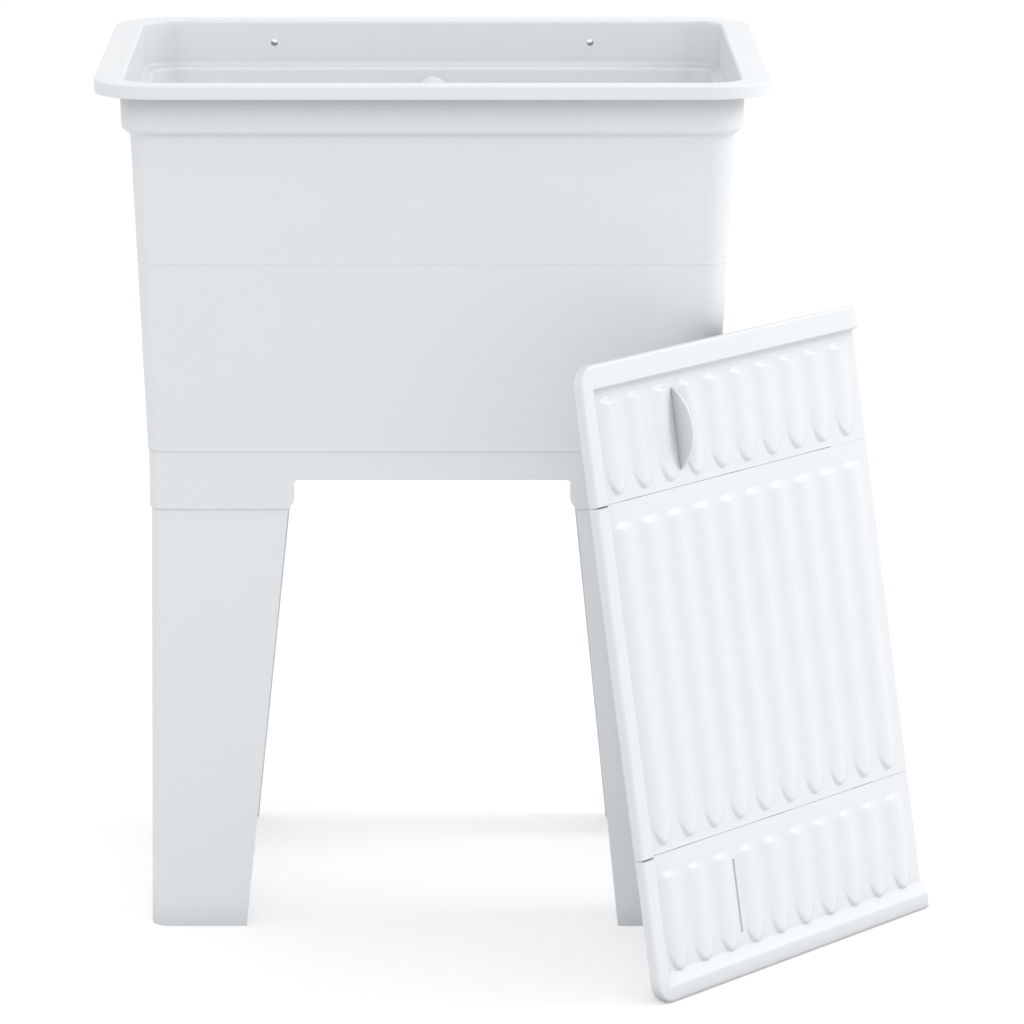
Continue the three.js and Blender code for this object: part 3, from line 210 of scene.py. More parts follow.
def moulded_skin():
    """Fine moulded grain, soft handling marks, a slight random tone, and painted shade that darkens the
    colour in creases, shared by all the plastics.
    """
    group = bpy.data.node_groups.new("moulded_skin", "ShaderNodeTree")
    add_sockets(group, "INPUT", "Float", "Grain size", "Grain depth", "Roughness")
    add_sockets(group, "INPUT", "Float", "Painted crease shade", "Crease reach")
    add_sockets(group, "INPUT", "Color", "Colour")
    add_sockets(group, "OUTPUT", "Color", "Colour")
    add_sockets(group, "OUTPUT", "Float", "Roughness")
    add_sockets(group, "OUTPUT", "Vector", "Normal")
    add = group.nodes.new
    given, result = add("NodeGroupInput").outputs, add("NodeGroupOutput").inputs
    place = add("ShaderNodeTexCoord")
    grain, cloud = add("ShaderNodeTexNoise"), add("ShaderNodeTexNoise")
    cloud.inputs["Scale"].default_value = 7
    cloud.inputs["Detail"].default_value = 4
    grain.inputs["Detail"].default_value = 3
    bump = add("ShaderNodeBump")
    bump.inputs["Distance"].default_value = 0.0004
    tone, worn = add("ShaderNodeMapRange"), add("ShaderNodeMapRange")
    tone.inputs["To Min"].default_value, tone.inputs["To Max"].default_value = 0.985, 1.01
    worn.inputs["To Min"].default_value, worn.inputs["To Max"].default_value = -0.05, 0.06
    # Painted shade: ambient occlusion darkens the base colour in creases, recesses and under overhangs,
    # down to one minus the crease shade.
    open_sky, kept = add("ShaderNodeAmbientOcclusion"), add("ShaderNodeMapRange")
    open_sky.samples = 4
    darkest, tone_and_painted_shade = add("ShaderNodeMath"), add("ShaderNodeMath")
    darkest.operation, tone_and_painted_shade.operation = "SUBTRACT", "MULTIPLY"
    darkest.inputs[0].default_value = 1
    shade = add("ShaderNodeVectorMath")
    shade.operation = "SCALE"
    total = add("ShaderNodeMath")
    link = group.links.new
    link(place.outputs["Object"], grain.inputs["Vector"])
    link(place.outputs["Object"], cloud.inputs["Vector"])
    link(given["Grain size"], grain.inputs["Scale"])
    link(given["Grain depth"], bump.inputs["Strength"])
    link(grain.outputs["Fac"], bump.inputs["Height"])
    link(cloud.outputs["Fac"], tone.inputs["Value"])
    link(cloud.outputs["Fac"], worn.inputs["Value"])
    link(given["Colour"], shade.inputs[0])
    link(given["Crease reach"], open_sky.inputs["Distance"])
    link(given["Painted crease shade"], darkest.inputs[1])
    link(darkest.outputs["Value"], kept.inputs["To Min"])
    link(open_sky.outputs["AO"], kept.inputs["Value"])
    link(tone.outputs["Result"], tone_and_painted_shade.inputs[0])
    link(kept.outputs["Result"], tone_and_painted_shade.inputs[1])
    link(tone_and_painted_shade.outputs["Value"], shade.inputs["Scale"])
    link(shade.outputs["Vector"], result["Colour"])
    link(given["Roughness"], total.inputs[0])
    link(worn.outputs["Result"], total.inputs[1])
    link(total.outputs["Value"], result["Roughness"])
    link(bump.outputs["Normal"], result["Normal"])
    return group


SKIN = moulded_skin()


def new_material(name):
    """A material with its shader and the calls that add and link its nodes."""
    material = bpy.data.materials.new(name)
    material.use_nodes = True
    tree = material.node_tree
    return material, tree.nodes["Principled BSDF"], tree.nodes.new, tree.links.new


# painted_crease_shade sets how far the painted shade darkens the colour in creases; reach sets how far
# the occlusion looks.
def plastic(name, colour, roughness, grain=900, depth=0.1, gloss=0.5, painted_crease_shade=0.5, reach=0.032):
    material, shader, add, link = new_material(name)
    shader.inputs["Specular IOR Level"].default_value = gloss
    skin = add("ShaderNodeGroup")
    skin.node_tree = SKIN
    skin.inputs["Colour"].default_value = (*colour, 1)
    skin.inputs["Roughness"].default_value = roughness
    skin.inputs["Grain size"].default_value = grain
    skin.inputs["Grain depth"].default_value = depth
    skin.inputs["Painted crease shade"].default_value = painted_crease_shade
    skin.inputs["Crease reach"].default_value = reach
    link(skin.outputs["Colour"], shader.inputs["Base Color"])
    link(skin.outputs["Roughness"], shader.inputs["Roughness"])
    link(skin.outputs["Normal"], shader.inputs["Normal"])
    return material


def brushed(name, colour, roughness):
    """Steel with short streaks left by brushing."""
    material, shader, add, link = new_material(name)
    shader.inputs["Base Color"].default_value = (*colour, 1)
    shader.inputs["Metallic"].default_value = 1
    place, stretch = add("ShaderNodeTexCoord"), add("ShaderNodeMapping")
    stretch.inputs["Scale"].default_value = (60, 2400, 2400)
    streak, spread = add("ShaderNodeTexNoise"), add("ShaderNodeMapRange")
    spread.inputs["To Min"].default_value = roughness - 0.07
    spread.inputs["To Max"].default_value = roughness + 0.09
    link(place.outputs["Object"], stretch.inputs["Vector"])
    link(stretch.outputs["Vector"], streak.inputs["Vector"])
    link(streak.outputs["Fac"], spread.inputs["Value"])
    link(spread.outputs["Result"], shader.inputs["Roughness"])
    return material


# Every plastic carries painted shade in its creases, strongest on the tub and the board.
FINISH = {
    "tub_plastic": plastic("tub_white", WHITE, 0.36, painted_crease_shade=0.45, reach=0.045),
    "leg_plastic": plastic("leg_white", (0.875, 0.9, 0.925), 0.42, painted_crease_shade=0.3),
    "board_plastic": plastic("board_white", (0.83, 0.85, 0.875), 0.38, painted_crease_shade=0.45),
    "pipe_plastic": plastic("pipe_grey", GREY_PIPE, 0.48),
    "rubber": plastic("seal_black", (0.022, 0.022, 0.024), 0.62, grain=1500, depth=0.3, gloss=0.35),
    "steel": brushed("brushed_steel", (0.6, 0.61, 0.62), 0.28),
}
SLOT_OF = {entry["node"]: entry["material_slot"] for entry in frame["record"]["subparts"]}
BODY_OF = {node: piece["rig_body"] for node, piece in frame["nodes"].items()}


# ---------------- solids
def linked(name, data):
    piece = bpy.data.objects.new(name, data)
    bpy.context.scene.collection.objects.link(piece)
    return piece


def solid(points, faces, name="form"):
    """Closed mesh with its faces pointing out."""
    mesh = bpy.data.meshes.new(name)
    mesh.from_pydata([tuple(point) for point in points], [], faces)
    shape = bmesh.new()
    shape.from_mesh(mesh)
    bmesh.ops.remove_doubles(shape, verts=shape.verts, dist=1e-5)
    bmesh.ops.recalc_face_normals(shape, faces=shape.faces)
    if shape.calc_volume(signed=True) < 0:
        bmesh.ops.reverse_faces(shape, faces=shape.faces)
    shape.to_mesh(mesh)
    shape.free()
    return linked(name, mesh)


def loft(rings, loop=False):
    """Skin over rings with equal point counts, closed with flat ends or into a loop."""
    count = len(rings[0])
    points = [point for ring in rings for point in ring]
    faces = []
    for i in range(len(rings) if loop else len(rings) - 1):
        near, far = i * count, ((i + 1) % len(rings)) * count
        for j in range(count):
            k = (j + 1) % count
            faces.append((near + j, near + k, far + k, far + j))
    if not loop:
        faces.append(tuple(range(count)))
        faces.append(tuple(range(len(points) - count, len(points))))
    return solid(points, faces)


def box(x0, x1, y0, y1, z0, z1):
    return loft([[(x0, y0, z), (x1, y0, z), (x1, y1, z), (x0, y1, z)] for z in (z0, z1)])


def rod(start, end, radius, sides=48):
    start, end = Vector(start), Vector(end)
    turn = (end - start).to_track_quat("Z", "Y")
    angles = [2 * math.pi * i / sides for i in range(sides)]
    circle = [turn @ Vector((radius * math.cos(a), radius * math.sin(a), 0)) for a in angles]
    return loft([[place + point for point in circle] for place in (start, end)])


def pushed(outline, low, high, basis=Matrix.Identity(4)):
    """Outline of (a, b) pairs pushed from low to high, then turned by a basis."""
    rings = [[basis @ Vector((a, b, level)) for a, b in outline] for level in (low, high)]
    return loft(rings)


def eased(controls, steps=4, closed=True):
    """Row of control points, each ending in the length by which its corner is rounded."""
    row = []
    last = len(controls) - 1
    for i, (*here, ease) in enumerate(controls):
        here = Vector(here)
        if not ease or (not closed and i in (0, last)):
            row.append(here)
            continue
        before, after = Vector(controls[i - 1][:-1]), Vector(controls[(i + 1) % len(controls)][:-1])
        start = here + (before - here).normalized() * ease
        end = here + (after - here).normalized() * ease
        for k in range(steps + 1):
            t = k / steps
            row.append((1 - t) ** 2 * start + 2 * t * (1 - t) * here + t * t * end)
    return row


def lathed(controls, sides=96):
    """Closed profile of (radius, height, ease) turned about Z, with one point on the axis."""
    profile = eased(controls, steps=3)
    points = []
    index = {}
    for i in range(sides):
        angle = 2 * math.pi * i / sides
        for j, (radius, z) in enumerate(profile):
            if radius == 0 and i > 0:
                index[i, j] = index[0, j]
                continue
            index[i, j] = len(points)
            points.append((radius * math.cos(angle), radius * math.sin(angle), z))
    faces = []
    for i in range(sides):
        for j in range(len(profile)):
            near, far, k = i, (i + 1) % sides, (j + 1) % len(profile)
            corners = dict.fromkeys((index[near, j], index[far, j], index[far, k], index[near, k]))
            if len(corners) > 2:
                faces.append(tuple(corners))
    return solid(points, faces)


def with_modifiers(piece):
    """Turns the evaluated object into its plain mesh and drops the modifiers."""
    evaluated = piece.evaluated_get(bpy.context.evaluated_depsgraph_get())
    mesh = bpy.data.meshes.new_from_object(evaluated)
    piece.modifiers.clear()
    piece.data = mesh
    return piece


def combined(piece, tool, operation):
    step = piece.modifiers.new("step", "BOOLEAN")
    step.operation = operation
    step.solver = "MANIFOLD"
    step.object = tool
    with_modifiers(piece)
    bpy.data.objects.remove(tool)
    return piece


def joined(piece, tool):
    return combined(piece, tool, "UNION")


def cut(piece, tool):
    return combined(piece, tool, "DIFFERENCE")


def edges_broken(piece, radius, degrees=42, segments=3):
    bevel = piece.modifiers.new("edges", "BEVEL")
    bevel.width = radius
    bevel.segments = segments
    bevel.limit_method = "ANGLE"
    bevel.angle_limit = math.radians(degrees)
    bevel.use_clamp_overlap = True
    return with_modifiers(piece)


def welded(piece, distance=0.008):
    """Closes the hairline slits that a bevel can leave at its corners."""
    shape = bmesh.new()
    shape.from_mesh(piece.data)
    bmesh.ops.remove_doubles(shape, verts=shape.verts, dist=distance)
    bmesh.ops.dissolve_degenerate(shape, dist=distance / 2, edges=shape.edges)
    shape.to_mesh(piece.data)
    shape.free()
    return piece


def smooth(piece, degrees=34):
    piece.data.shade_smooth()
    piece.data.set_sharp_from_angle(angle=math.radians(degrees))
    weigh = piece.modifiers.new("weigh", "WEIGHTED_NORMAL")
    weigh.keep_sharp = True
    return with_modifiers(piece)


def finished(piece, node, place=None):
    """Puts a piece in its place, with its finish, in the stead of its CAD node."""
    if place is not None:
        piece.data.transform(place)
    smooth(piece)
    piece.name = f"{node}_piece"
    piece.data.name = piece.name
    piece.data.materials.clear()
    piece.data.materials.append(FINISH[SLOT_OF[node]])
    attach(piece, BODY_OF[node])
    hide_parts(node)


def make_leg(node):
    """A merged copy of the leg's CAD solid with its edges broken by a small radius."""
    piece = linked(node, frame["nodes"][node].data.copy())
    shape = bmesh.new()
    shape.from_mesh(piece.data)
    bmesh.ops.remove_doubles(shape, verts=shape.verts, dist=1e-6)
    bmesh.ops.dissolve_limit(shape, angle_limit=math.radians(0.6), verts=shape.verts, edges=shape.edges)
    shape.to_mesh(piece.data)
    shape.free()
    finished(edges_broken(piece, 0.8 * MM, degrees=40), node)


# ---------------- tub
CORNER_STEPS = 12
SIDE_STEPS = 6
QUARTERS = ((1, 1), (-1, 1), (-1, -1), (1, -1))


def rim_ring(setback, radius, z):
    """Level rounded rectangle drawn in from the rim's outer edge."""
    across, deep = RIM_W / 2 - setback - radius, RIM_D / 2 - setback - radius
    arcs = []
    for corner, (sx, sy) in enumerate(QUARTERS):
        angles = [(corner + i / CORNER_STEPS) * math.pi / 2 for i in range(CORNER_STEPS + 1)]
        centre = Vector((sx * across, sy * deep, z))
        arcs.append([centre + Vector((math.cos(a), math.sin(a), 0)) * radius for a in angles])
    ring = []
    for i, arc in enumerate(arcs):
        ring += arc
        start, end = arc[-1], arcs[(i + 1) % 4][0]
        ring += [start.lerp(end, k / SIDE_STEPS) for k in range(1, SIDE_STEPS)]
    return ring


SPOKES = [math.atan2(point.y, point.x) for point in rim_ring(APRON, APRON_R, 0)]


def round_ring(radius, z):
    return [Vector((radius * math.cos(a), radius * math.sin(a), z)) for a in SPOKES]


def between(first, second, share):
    return [a.lerp(b, share) for a, b in zip(first, second)]


def body_setback(z):
    return BODY_TOP + (BODY_TOP_Z - z) * BODY_TAPER / (BODY_TOP_Z - BODY_FOOT_Z)


def body_radius(z):
    return BODY_TOP_R + (BODY_FOOT_R - BODY_TOP_R) * (BODY_TOP_Z - z) / (BODY_TOP_Z - BODY_FOOT_Z)


def on_body(z, out=0.0, ease=0.0):
    return (body_setback(z) - out, body_radius(z) + out, z, ease)


def bead(z, out):
    """Thin raised line round the body, sharp below and drawn out above."""
    return [on_body(z + 2.6, 0, 0.8), on_body(z, out, 0.3), on_body(z - 0.9, 0, 0.25)]


def outside_rings():
    lip_edge = RIM_Z - LIP_DROP
    under_band = RIM_Z - WALL
    controls = [
        (15, CORNER_R - 15, RIM_Z, 0),
        (0, CORNER_R, RIM_Z, 2.4),
        (0.3, CORNER_R, lip_edge, 1.4),
        (LIP_WALL, CORNER_R - LIP_WALL, lip_edge + 0.5, 0.9),
        (LIP_WALL + 0.4, CORNER_R - LIP_WALL, under_band, 1.2),
        (SKIRT, CORNER_R - SKIRT, under_band, 3),
        (SKIRT + SKIRT_TAPER, CORNER_R - SKIRT - SKIRT_TAPER, SKIRT_Z - 1.6, 4.4),
        (BODY_TOP - 0.5, BODY_TOP_R, SKIRT_Z - 7.6, 3),
        *bead(BODY_TOP_Z - 2, 0.45),
        *bead(STEP_Z, 0.5),
        on_body(BODY_FOOT_Z + 3, 0, 1),
        on_body(BODY_FOOT_Z + 0.6, 0.5, 0.4),
        on_body(BODY_FOOT_Z - 1, 0.4, 0.4),
        (APRON, APRON_R, BODY_FOOT_Z - 2.6, 0.8),
        (APRON, APRON_R, COLLAR_Z, 0.7),
        (APRON + APRON_WALL, APRON_R - APRON_WALL, COLLAR_Z, 0.7),
        (APRON + APRON_WALL, APRON_R - APRON_WALL, SEAT_Z - 0.5, 3),
        (APRON + APRON_WALL + 8, APRON_R, FLOOR_Z - FLOOR_T - 1, 0),
    ]
    return [rim_ring(*control) for control in eased(controls, closed=False)]


def inside_rings():
    foot = FLOOR_Z - 0.4
    controls = [
        (body_setback(foot) + WALL + 30, BODY_FOOT_R + 6, foot - 0.9, 0),
        (body_setback(foot) + WALL, BODY_FOOT_R - 1, foot, 22),
        (body_setback(STEP_Z) + WALL, body_radius(STEP_Z) - WALL, STEP_Z, 0.8),
        (BODY_TOP + WALL, BODY_TOP_R - WALL, BODY_TOP_Z + 8.6, 2.6),
        (SKIRT + WALL + 1.1, CORNER_R - SKIRT - 5, SKIRT_Z + 0.6, 3.6),
        (BAND, CORNER_R - BAND, RIM_Z, 4.2),
        (BAND - 9, CORNER_R - BAND + 9, RIM_Z, 0),
    ]
    return [rim_ring(*control) for control in eased(controls, steps=6, closed=False)]


def tub_shell():
    outside, inside = outside_rings(), inside_rings()
    under, over = SEAT_Z - FLOOR_T, SEAT_Z + 2.5
    seat_below = [(SEAT_R + 8, under + 2), (SEAT_R + 4, under), (DRAIN_R, under)]
    seat_above = [(DRAIN_R, SEAT_Z), (SEAT_R, SEAT_Z), (SEAT_R + 2.2, over - 0.4), (SEAT_R + 4, over)]
    below, above = ([round_ring(radius, z) for radius, z in seat] for seat in (seat_below, seat_above))
    underside = [between(outside[-1], below[0], share) for share in (0.35, 0.7)]
    floor = [between(above[-1], inside[0], share) for share in (0.25, 0.5, 0.75)]
    return loft(outside + underside + below + above + floor + inside, loop=True)


def notch_outline(half):
    """Arch between two leg collars, as (across, height)."""
    controls = [
        (-half - NOTCH_FLARE, COLLAR_Z - 10, 0),
        (-half - NOTCH_FLARE, COLLAR_Z, 0),
        (-half, COLLAR_Z + 7, 5),
        (-half, APRON_Z, 4),
        (half, APRON_Z, 4),
        (half, COLLAR_Z + 7, 5),
        (half + NOTCH_FLARE, COLLAR_Z, 0),
        (half + NOTCH_FLARE, COLLAR_Z - 10, 0),
    ]
    return [tuple(point) for point in eased(controls, closed=False)]


ALONG_Y = Matrix(((1, 0, 0, 0), (0, 0, 1, 0), (0, 1, 0, 0), (0, 0, 0, 1)))
ALONG_X = Matrix(((0, 0, 1, 0), (1, 0, 0, 0), (0, 1, 0, 0), (0, 0, 0, 1)))


def wall_frame():
    """Middle of the rear basin wall at the overflow, with Y along the wall's outward normal."""
    slope = BODY_TAPER / (BODY_TOP_Z - BODY_FOOT_Z)
    place = Vector((0, RIM_D / 2 - body_setback(OVERFLOW_Z) - WALL / 2, OVERFLOW_Z))
    return Matrix.Translation(place) @ Matrix.Rotation(-math.atan(slope), 4, "X")


IN_WALL = wall_frame()


def floor_rib(x, y, top):
    reach, inner, under = math.hypot(x, y), SEAT_R + 1, SEAT_Z - FLOOR_T
    outline = [(inner, top + 1), (reach, top + 1), (reach, FLOOR_Z - FLOOR_T + 0.5), (inner, under + 2)]
    turn = Matrix.Rotation(math.atan2(y, x), 4, "Z")
    return pushed(outline, -1.5, 1.5, turn @ ALONG_Y)


def make_tub():
    tub = tub_shell()
    for corner in ("front_left", "front_right", "rear_left", "rear_right"):
        x, y = middle_of(f"leg_screw_{corner}")
        boss = rod((x, y, LEG_TOP + GAP), (x, y, FLOOR_Z - FLOOR_T + 1), LEG_BOSS_R)
        joined(tub, joined(boss, floor_rib(x, y, LEG_TOP)))
        cut(tub, rod((x, y, LEG_TOP - 5), (x, y, LEG_TOP + LEG_PILOT_DEPTH), LEG_PILOT_R, 24))
    skirt_back = RIM_D / 2 - SKIRT
    for x in (-WALL_HOLE_X, WALL_HOLE_X):
        start, end = skirt_back - WALL * 0.6, RIM_D / 2 - 1.2
        joined(tub, rod((x, start, WALL_HOLE_Z), (x, end, WALL_HOLE_Z), WALL_BOSS_R))
        cut(tub, rod((x, start - 20, WALL_HOLE_Z), (x, end + 5, WALL_HOLE_Z), WALL_HOLE_R, 32))
    cut(tub, rod(IN_WALL @ Vector((0, -12, 0)), IN_WALL @ Vector((0, 12, 0)), OVERFLOW_R))
    cut(tub, pushed(notch_outline(-LEG_CORNER.x - NOTCH_FLARE), -RIM_D, RIM_D, ALONG_Y))
    cut(tub, pushed(notch_outline(-LEG_CORNER.y - NOTCH_FLARE), -RIM_W, RIM_W, ALONG_X))
    finished(welded(edges_broken(tub, 0.4, degrees=48)), "tub", IN_SINK)


make_tub()
for leg in ("leg_front_left", "leg_front_right", "leg_rear_left", "leg_rear_right"):
    make_leg(leg)

# ---------------- board
def ended(tree, geometry, finish):
    """Ends a geometry tree with plain geometry in its finish."""
    add_sockets(tree, "OUTPUT", "Geometry", "Geometry")
    add, link = tree.nodes.new, tree.links.new
    real, paint = add("GeometryNodeRealizeInstances"), add("GeometryNodeSetMaterial")
    link(geometry, real.inputs["Geometry"])
    link(real.outputs["Geometry"], paint.inputs["Geometry"])
    link(finish, paint.inputs["Material"])
    link(paint.outputs["Geometry"], add("NodeGroupOutput").inputs["Geometry"])
    return tree


def scrub_face():
    """Shapes a flat grid into the board's face: a wave of ribs in a recess with sloping walls."""
    tree = bpy.data.node_groups.new("scrub_face", "GeometryNodeTree")
    add_sockets(tree, "INPUT", "Geometry", "Geometry")
    add_sockets(
        tree, "INPUT", "Float", "First rib", "Rib pitch", "Rib count", "Rib height", "Rib tip",
        "Nose length", "Nose bow", "Rib high", "Rib end", "Recess", "Left wall", "Low wall",
        "Low wall slope", "High wall", "High wall reach", "Rounding",
    )
    add_sockets(tree, "INPUT", "Material", "Finish")
    add, link = tree.nodes.new, tree.links.new
    size = add("NodeGroupInput").outputs
    place = add("ShaderNodeSeparateXYZ")
    link(add("GeometryNodeInputPosition").outputs["Position"], place.inputs["Vector"])
    u, v = place.outputs["X"], place.outputs["Y"]

    def calc(operation, *values):
        node = add("ShaderNodeMath")
        node.operation = operation
        for socket, value in zip(node.inputs, values):
            if isinstance(value, (int, float)):
                socket.default_value = value
            else:
                link(value, socket)
        return node.outputs["Value"]

    def eased_in(value):
        """0 below 0, 1 above 1, steep at 0 and level at 1."""
        share = calc("MINIMUM", calc("MAXIMUM", value, 0), 1)
        return calc("MULTIPLY", share, calc("SUBTRACT", 2, share))

    from_first = calc("SUBTRACT", u, size["First rib"])
    nearest = calc("ROUND", calc("DIVIDE", from_first, size["Rib pitch"]))
    last = calc("SUBTRACT", size["Rib count"], 1)
    index = calc("MINIMUM", calc("MAXIMUM", nearest, 0), last)
    off_crest = calc("SUBTRACT", from_first, calc("MULTIPLY", index, size["Rib pitch"]))
    off_squared = calc("MULTIPLY", off_crest, off_crest)
    half_wave = calc("MULTIPLY", size["Rib pitch"], 0.5)
    across = calc("DIVIDE", off_crest, half_wave)
    past_high = calc("MAXIMUM", calc("SUBTRACT", v, size["Rib high"]), 0)
    along = calc("DIVIDE", past_high, size["Rib end"])
    reach = calc("SQRT", calc("ADD", calc("MULTIPLY", across, across), calc("MULTIPLY", along, along)))
    wave = calc("COSINE", calc("MULTIPLY", calc("MINIMUM", reach, 1), math.pi))
    crest = calc("MULTIPLY_ADD", wave, 0.5, 0.5)
    tip = calc("MULTIPLY_ADD", off_squared, size["Nose bow"], size["Rib tip"])
    nose = eased_in(calc("DIVIDE", calc("SUBTRACT", v, tip), size["Nose length"]))
    rib = calc("MULTIPLY", calc("MULTIPLY", crest, nose), size["Rib height"])
    floor = calc("SUBTRACT", rib, size["Recess"])
    left_wall = calc("SUBTRACT", size["Left wall"], u)
    low_wall = calc("MULTIPLY", calc("SUBTRACT", size["Low wall"], v), size["Low wall slope"])
    short_of_high = calc("SUBTRACT", size["High wall"], v)
    hollow_out = eased_in(calc("DIVIDE", short_of_high, size["High wall reach"]))
    high_fall = calc("MULTIPLY", hollow_out, calc("ADD", size["Recess"], 0.9))
    high_wall = calc("SUBTRACT", calc("MAXIMUM", calc("MULTIPLY", short_of_high, -1), 0), high_fall)
    wall = calc("SMOOTH_MAX", left_wall, calc("MAXIMUM", low_wall, high_wall), size["Rounding"])
    hollow = calc("SMOOTH_MAX", floor, wall, size["Rounding"])
    height = calc("SMOOTH_MIN", hollow, FACE_LEVEL, size["Rounding"])
    lift, shape = add("ShaderNodeCombineXYZ"), add("GeometryNodeSetPosition")
    link(height, lift.inputs["Z"])
    link(size["Geometry"], shape.inputs["Geometry"])
    link(lift.outputs["Vector"], shape.inputs["Offset"])
    return ended(tree, shape.outputs["Geometry"], size["Finish"])


SCRUB_FACE = scrub_face()
Section = namedtuple("Section", "low high rib_tip rib_high bar_low bar_high", defaults=(False, False))


def with_tree(piece, tree, values):
    """Runs a geometry tree on a piece, with its named inputs set, and keeps the plain mesh."""
    step = piece.modifiers.new("shape", "NODES")
    step.node_group = tree
    for socket in tree.interface.items_tree:
        if socket.in_out == "INPUT" and socket.name in values:
            value = values[socket.name]
            is_float = socket.socket_type == "NodeSocketFloat"
            step[socket.identifier] = float(value) if is_float else value
    return with_modifiers(piece)


def lines(*stretches):
    """Grid lines over stretches given as (start, end, spacing)."""
    row = []
    for start, end, spacing in stretches:
        count = max(1, round((end - start) / spacing))
        row += [start + (end - start) * i / count for i in range(count)]
    return row + [stretches[-1][1]]


def face_grid(part):
    """Grid over the section, with its lines close together where the face turns."""
    columns = lines((-3, 12, 5), (12, 28, 0.8), (28, BOARD_W + 3, 1.3))
    start, end = part.low - 3, part.high + 3
    tip, rib_to = part.rib_tip, part.rib_high
    rows = [(tip - 1, tip + 17, 0.6), (tip + 17, rib_to, 12), (rib_to, rib_to + RIB_END, 0.9)]
    if part.bar_low:
        rows = [(start, 11, 5), (11, tip - 1, 0.6)] + rows
    else:
        rows = [(start, tip - 1, 4)] + rows
    if part.bar_high:
        rows += [(rib_to + RIB_END, part.high - 14, 0.6), (part.high - 14, end, 5)]
    else:
        rows.append((rib_to + RIB_END, end, 4))
    return columns, lines(*rows)


def above_face(part):
    """Everything above the ribbed face, as a solid to cut away."""
    columns, rows = face_grid(part)
    wide = len(columns)
    mesh = bpy.data.meshes.new("face")
    faces = []
    for j in range(len(rows) - 1):
        for i in range(wide - 1):
            k = j * wide + i
            faces.append((k, k + 1, k + 1 + wide, k + wide))
    mesh.from_pydata([(u, v, 0) for v in rows for u in columns], [], faces)
    far = 10 * BOARD_L
    skin = with_tree(linked("face", mesh), SCRUB_FACE, {
        "First rib": FIRST_RIB,
        "Rib pitch": RIB_PITCH,
        "Rib count": RIB_COUNT,
        "Rib height": RIB_HEIGHT,
        "Rib tip": part.rib_tip,
        "Nose length": NOSE_LENGTH,
        "Nose bow": NOSE_BOW,
        "Rib high": part.rib_high,
        "Rib end": RIB_END,
        "Recess": RECESS,
        "Left wall": SIDE_BORDER,
        "Low wall": part.low + LOW_BAR if part.bar_low else -far,
        "Low wall slope": LOW_WALL_SLOPE,
        "High wall": part.high - TOP_BAR if part.bar_high else far,
        "High wall reach": TOP_WALL_REACH,
        "Rounding": 1.4,
        "Finish": FINISH["board_plastic"],
    })
    points = [vertex.co.copy() for vertex in skin.data.vertices]
    bpy.data.objects.remove(skin)
    count = len(points)
    low_edge = list(range(wide))
    right_edge = [wide * j + wide - 1 for j in range(1, len(rows))]
    high_edge = [wide * (len(rows) - 1) + i for i in range(wide - 2, -1, -1)]
    left_edge = [wide * j for j in range(len(rows) - 2, 0, -1)]
    border = low_edge + right_edge + high_edge + left_edge
    points += [Vector((points[i].x, points[i].y, BOARD_T)) for i in border]
    for i, at in enumerate(border):
        j = (i + 1) % len(border)
        faces.append((at, border[j], count + j, count + i))
    faces.append(tuple(range(count, count + len(border))))
    return solid(points, faces)


def arc(x, y, radius, start, steps=10):
    """Quarter circle of points about (x, y)."""
    angles = [start + i / steps * math.pi / 2 for i in range(steps + 1)]
    return [(x + radius * math.cos(a), y + radius * math.sin(a)) for a in angles]


def section_outline(part, inset):
    shy = min(inset, FOLD_ROUND)
    bottom = part.low + (inset if part.bar_low else shy)
    top = part.high - (inset if part.bar_high else shy)
    radius = BOARD_R - inset
    low_left, high_left = [(inset, bottom)], [(inset, top)]
    if part.bar_low:
        low_left = arc(BOARD_R, part.low + BOARD_R, radius, math.pi)
    if part.bar_high:
        high_left = arc(BOARD_R, part.high - BOARD_R, radius, math.pi / 2)
    right = BOARD_W - inset
    return [(right, bottom), (right, top)] + high_left + low_left


def section_body(part):
    steps = 6
    rings = [(-BOARD_T, 0.9), (-BOARD_T + 0.3, 0.3), (-BOARD_T + 0.9, 0)]
    for i in range(steps + 1):
        angle = i / steps * math.pi / 2
        rings.append((-FACE_ROUND * (1 - math.sin(angle)), FACE_ROUND * (1 - math.cos(angle))))
    return loft([[(u, v, z) for u, v in section_outline(part, inset)] for z, inset in rings])


def back_channel(part):
    """Hollow behind the raised borders, open at the back."""
    skin = SHEET * math.sqrt(2)
    corner = BOARD_R * 0.6
    rings = []
    for z in (-BOARD_T - 1, -SHEET):
        inner = SIDE_BORDER - skin - z
        across = TOP_BAR - SHEET * 1.2 - z * TOP_WALL_REACH / (RECESS + SHEET)
        right, bottom, top = BOARD_W - SHEET, part.low + SHEET, part.high - SHEET
        if part.bar_high:
            shelf = part.high - across
            row = [(SHEET, bottom), (inner, bottom), (inner, shelf), (right, shelf), (right, top)]
            row += [(corner, top), (SHEET, part.high - corner)]
        elif part.bar_low:
            shelf = part.low + LOW_BAR - SHEET * 1.7 - z / LOW_WALL_SLOPE
            row = [(corner, bottom), (right, bottom), (right, shelf), (inner, shelf), (inner, top)]
            row += [(SHEET, top), (SHEET, part.low + corner)]
        else:
            row = [(SHEET, bottom), (inner, bottom), (inner, top), (SHEET, top)]
        rings.append([(u, v, z) for u, v in row])
    return loft(rings)


ACROSS_BOARD = Matrix(((0, 0, 1, 0), (1, 0, 0, 0), (0, 1, 0, 0), (0, 0, 0, 1)))


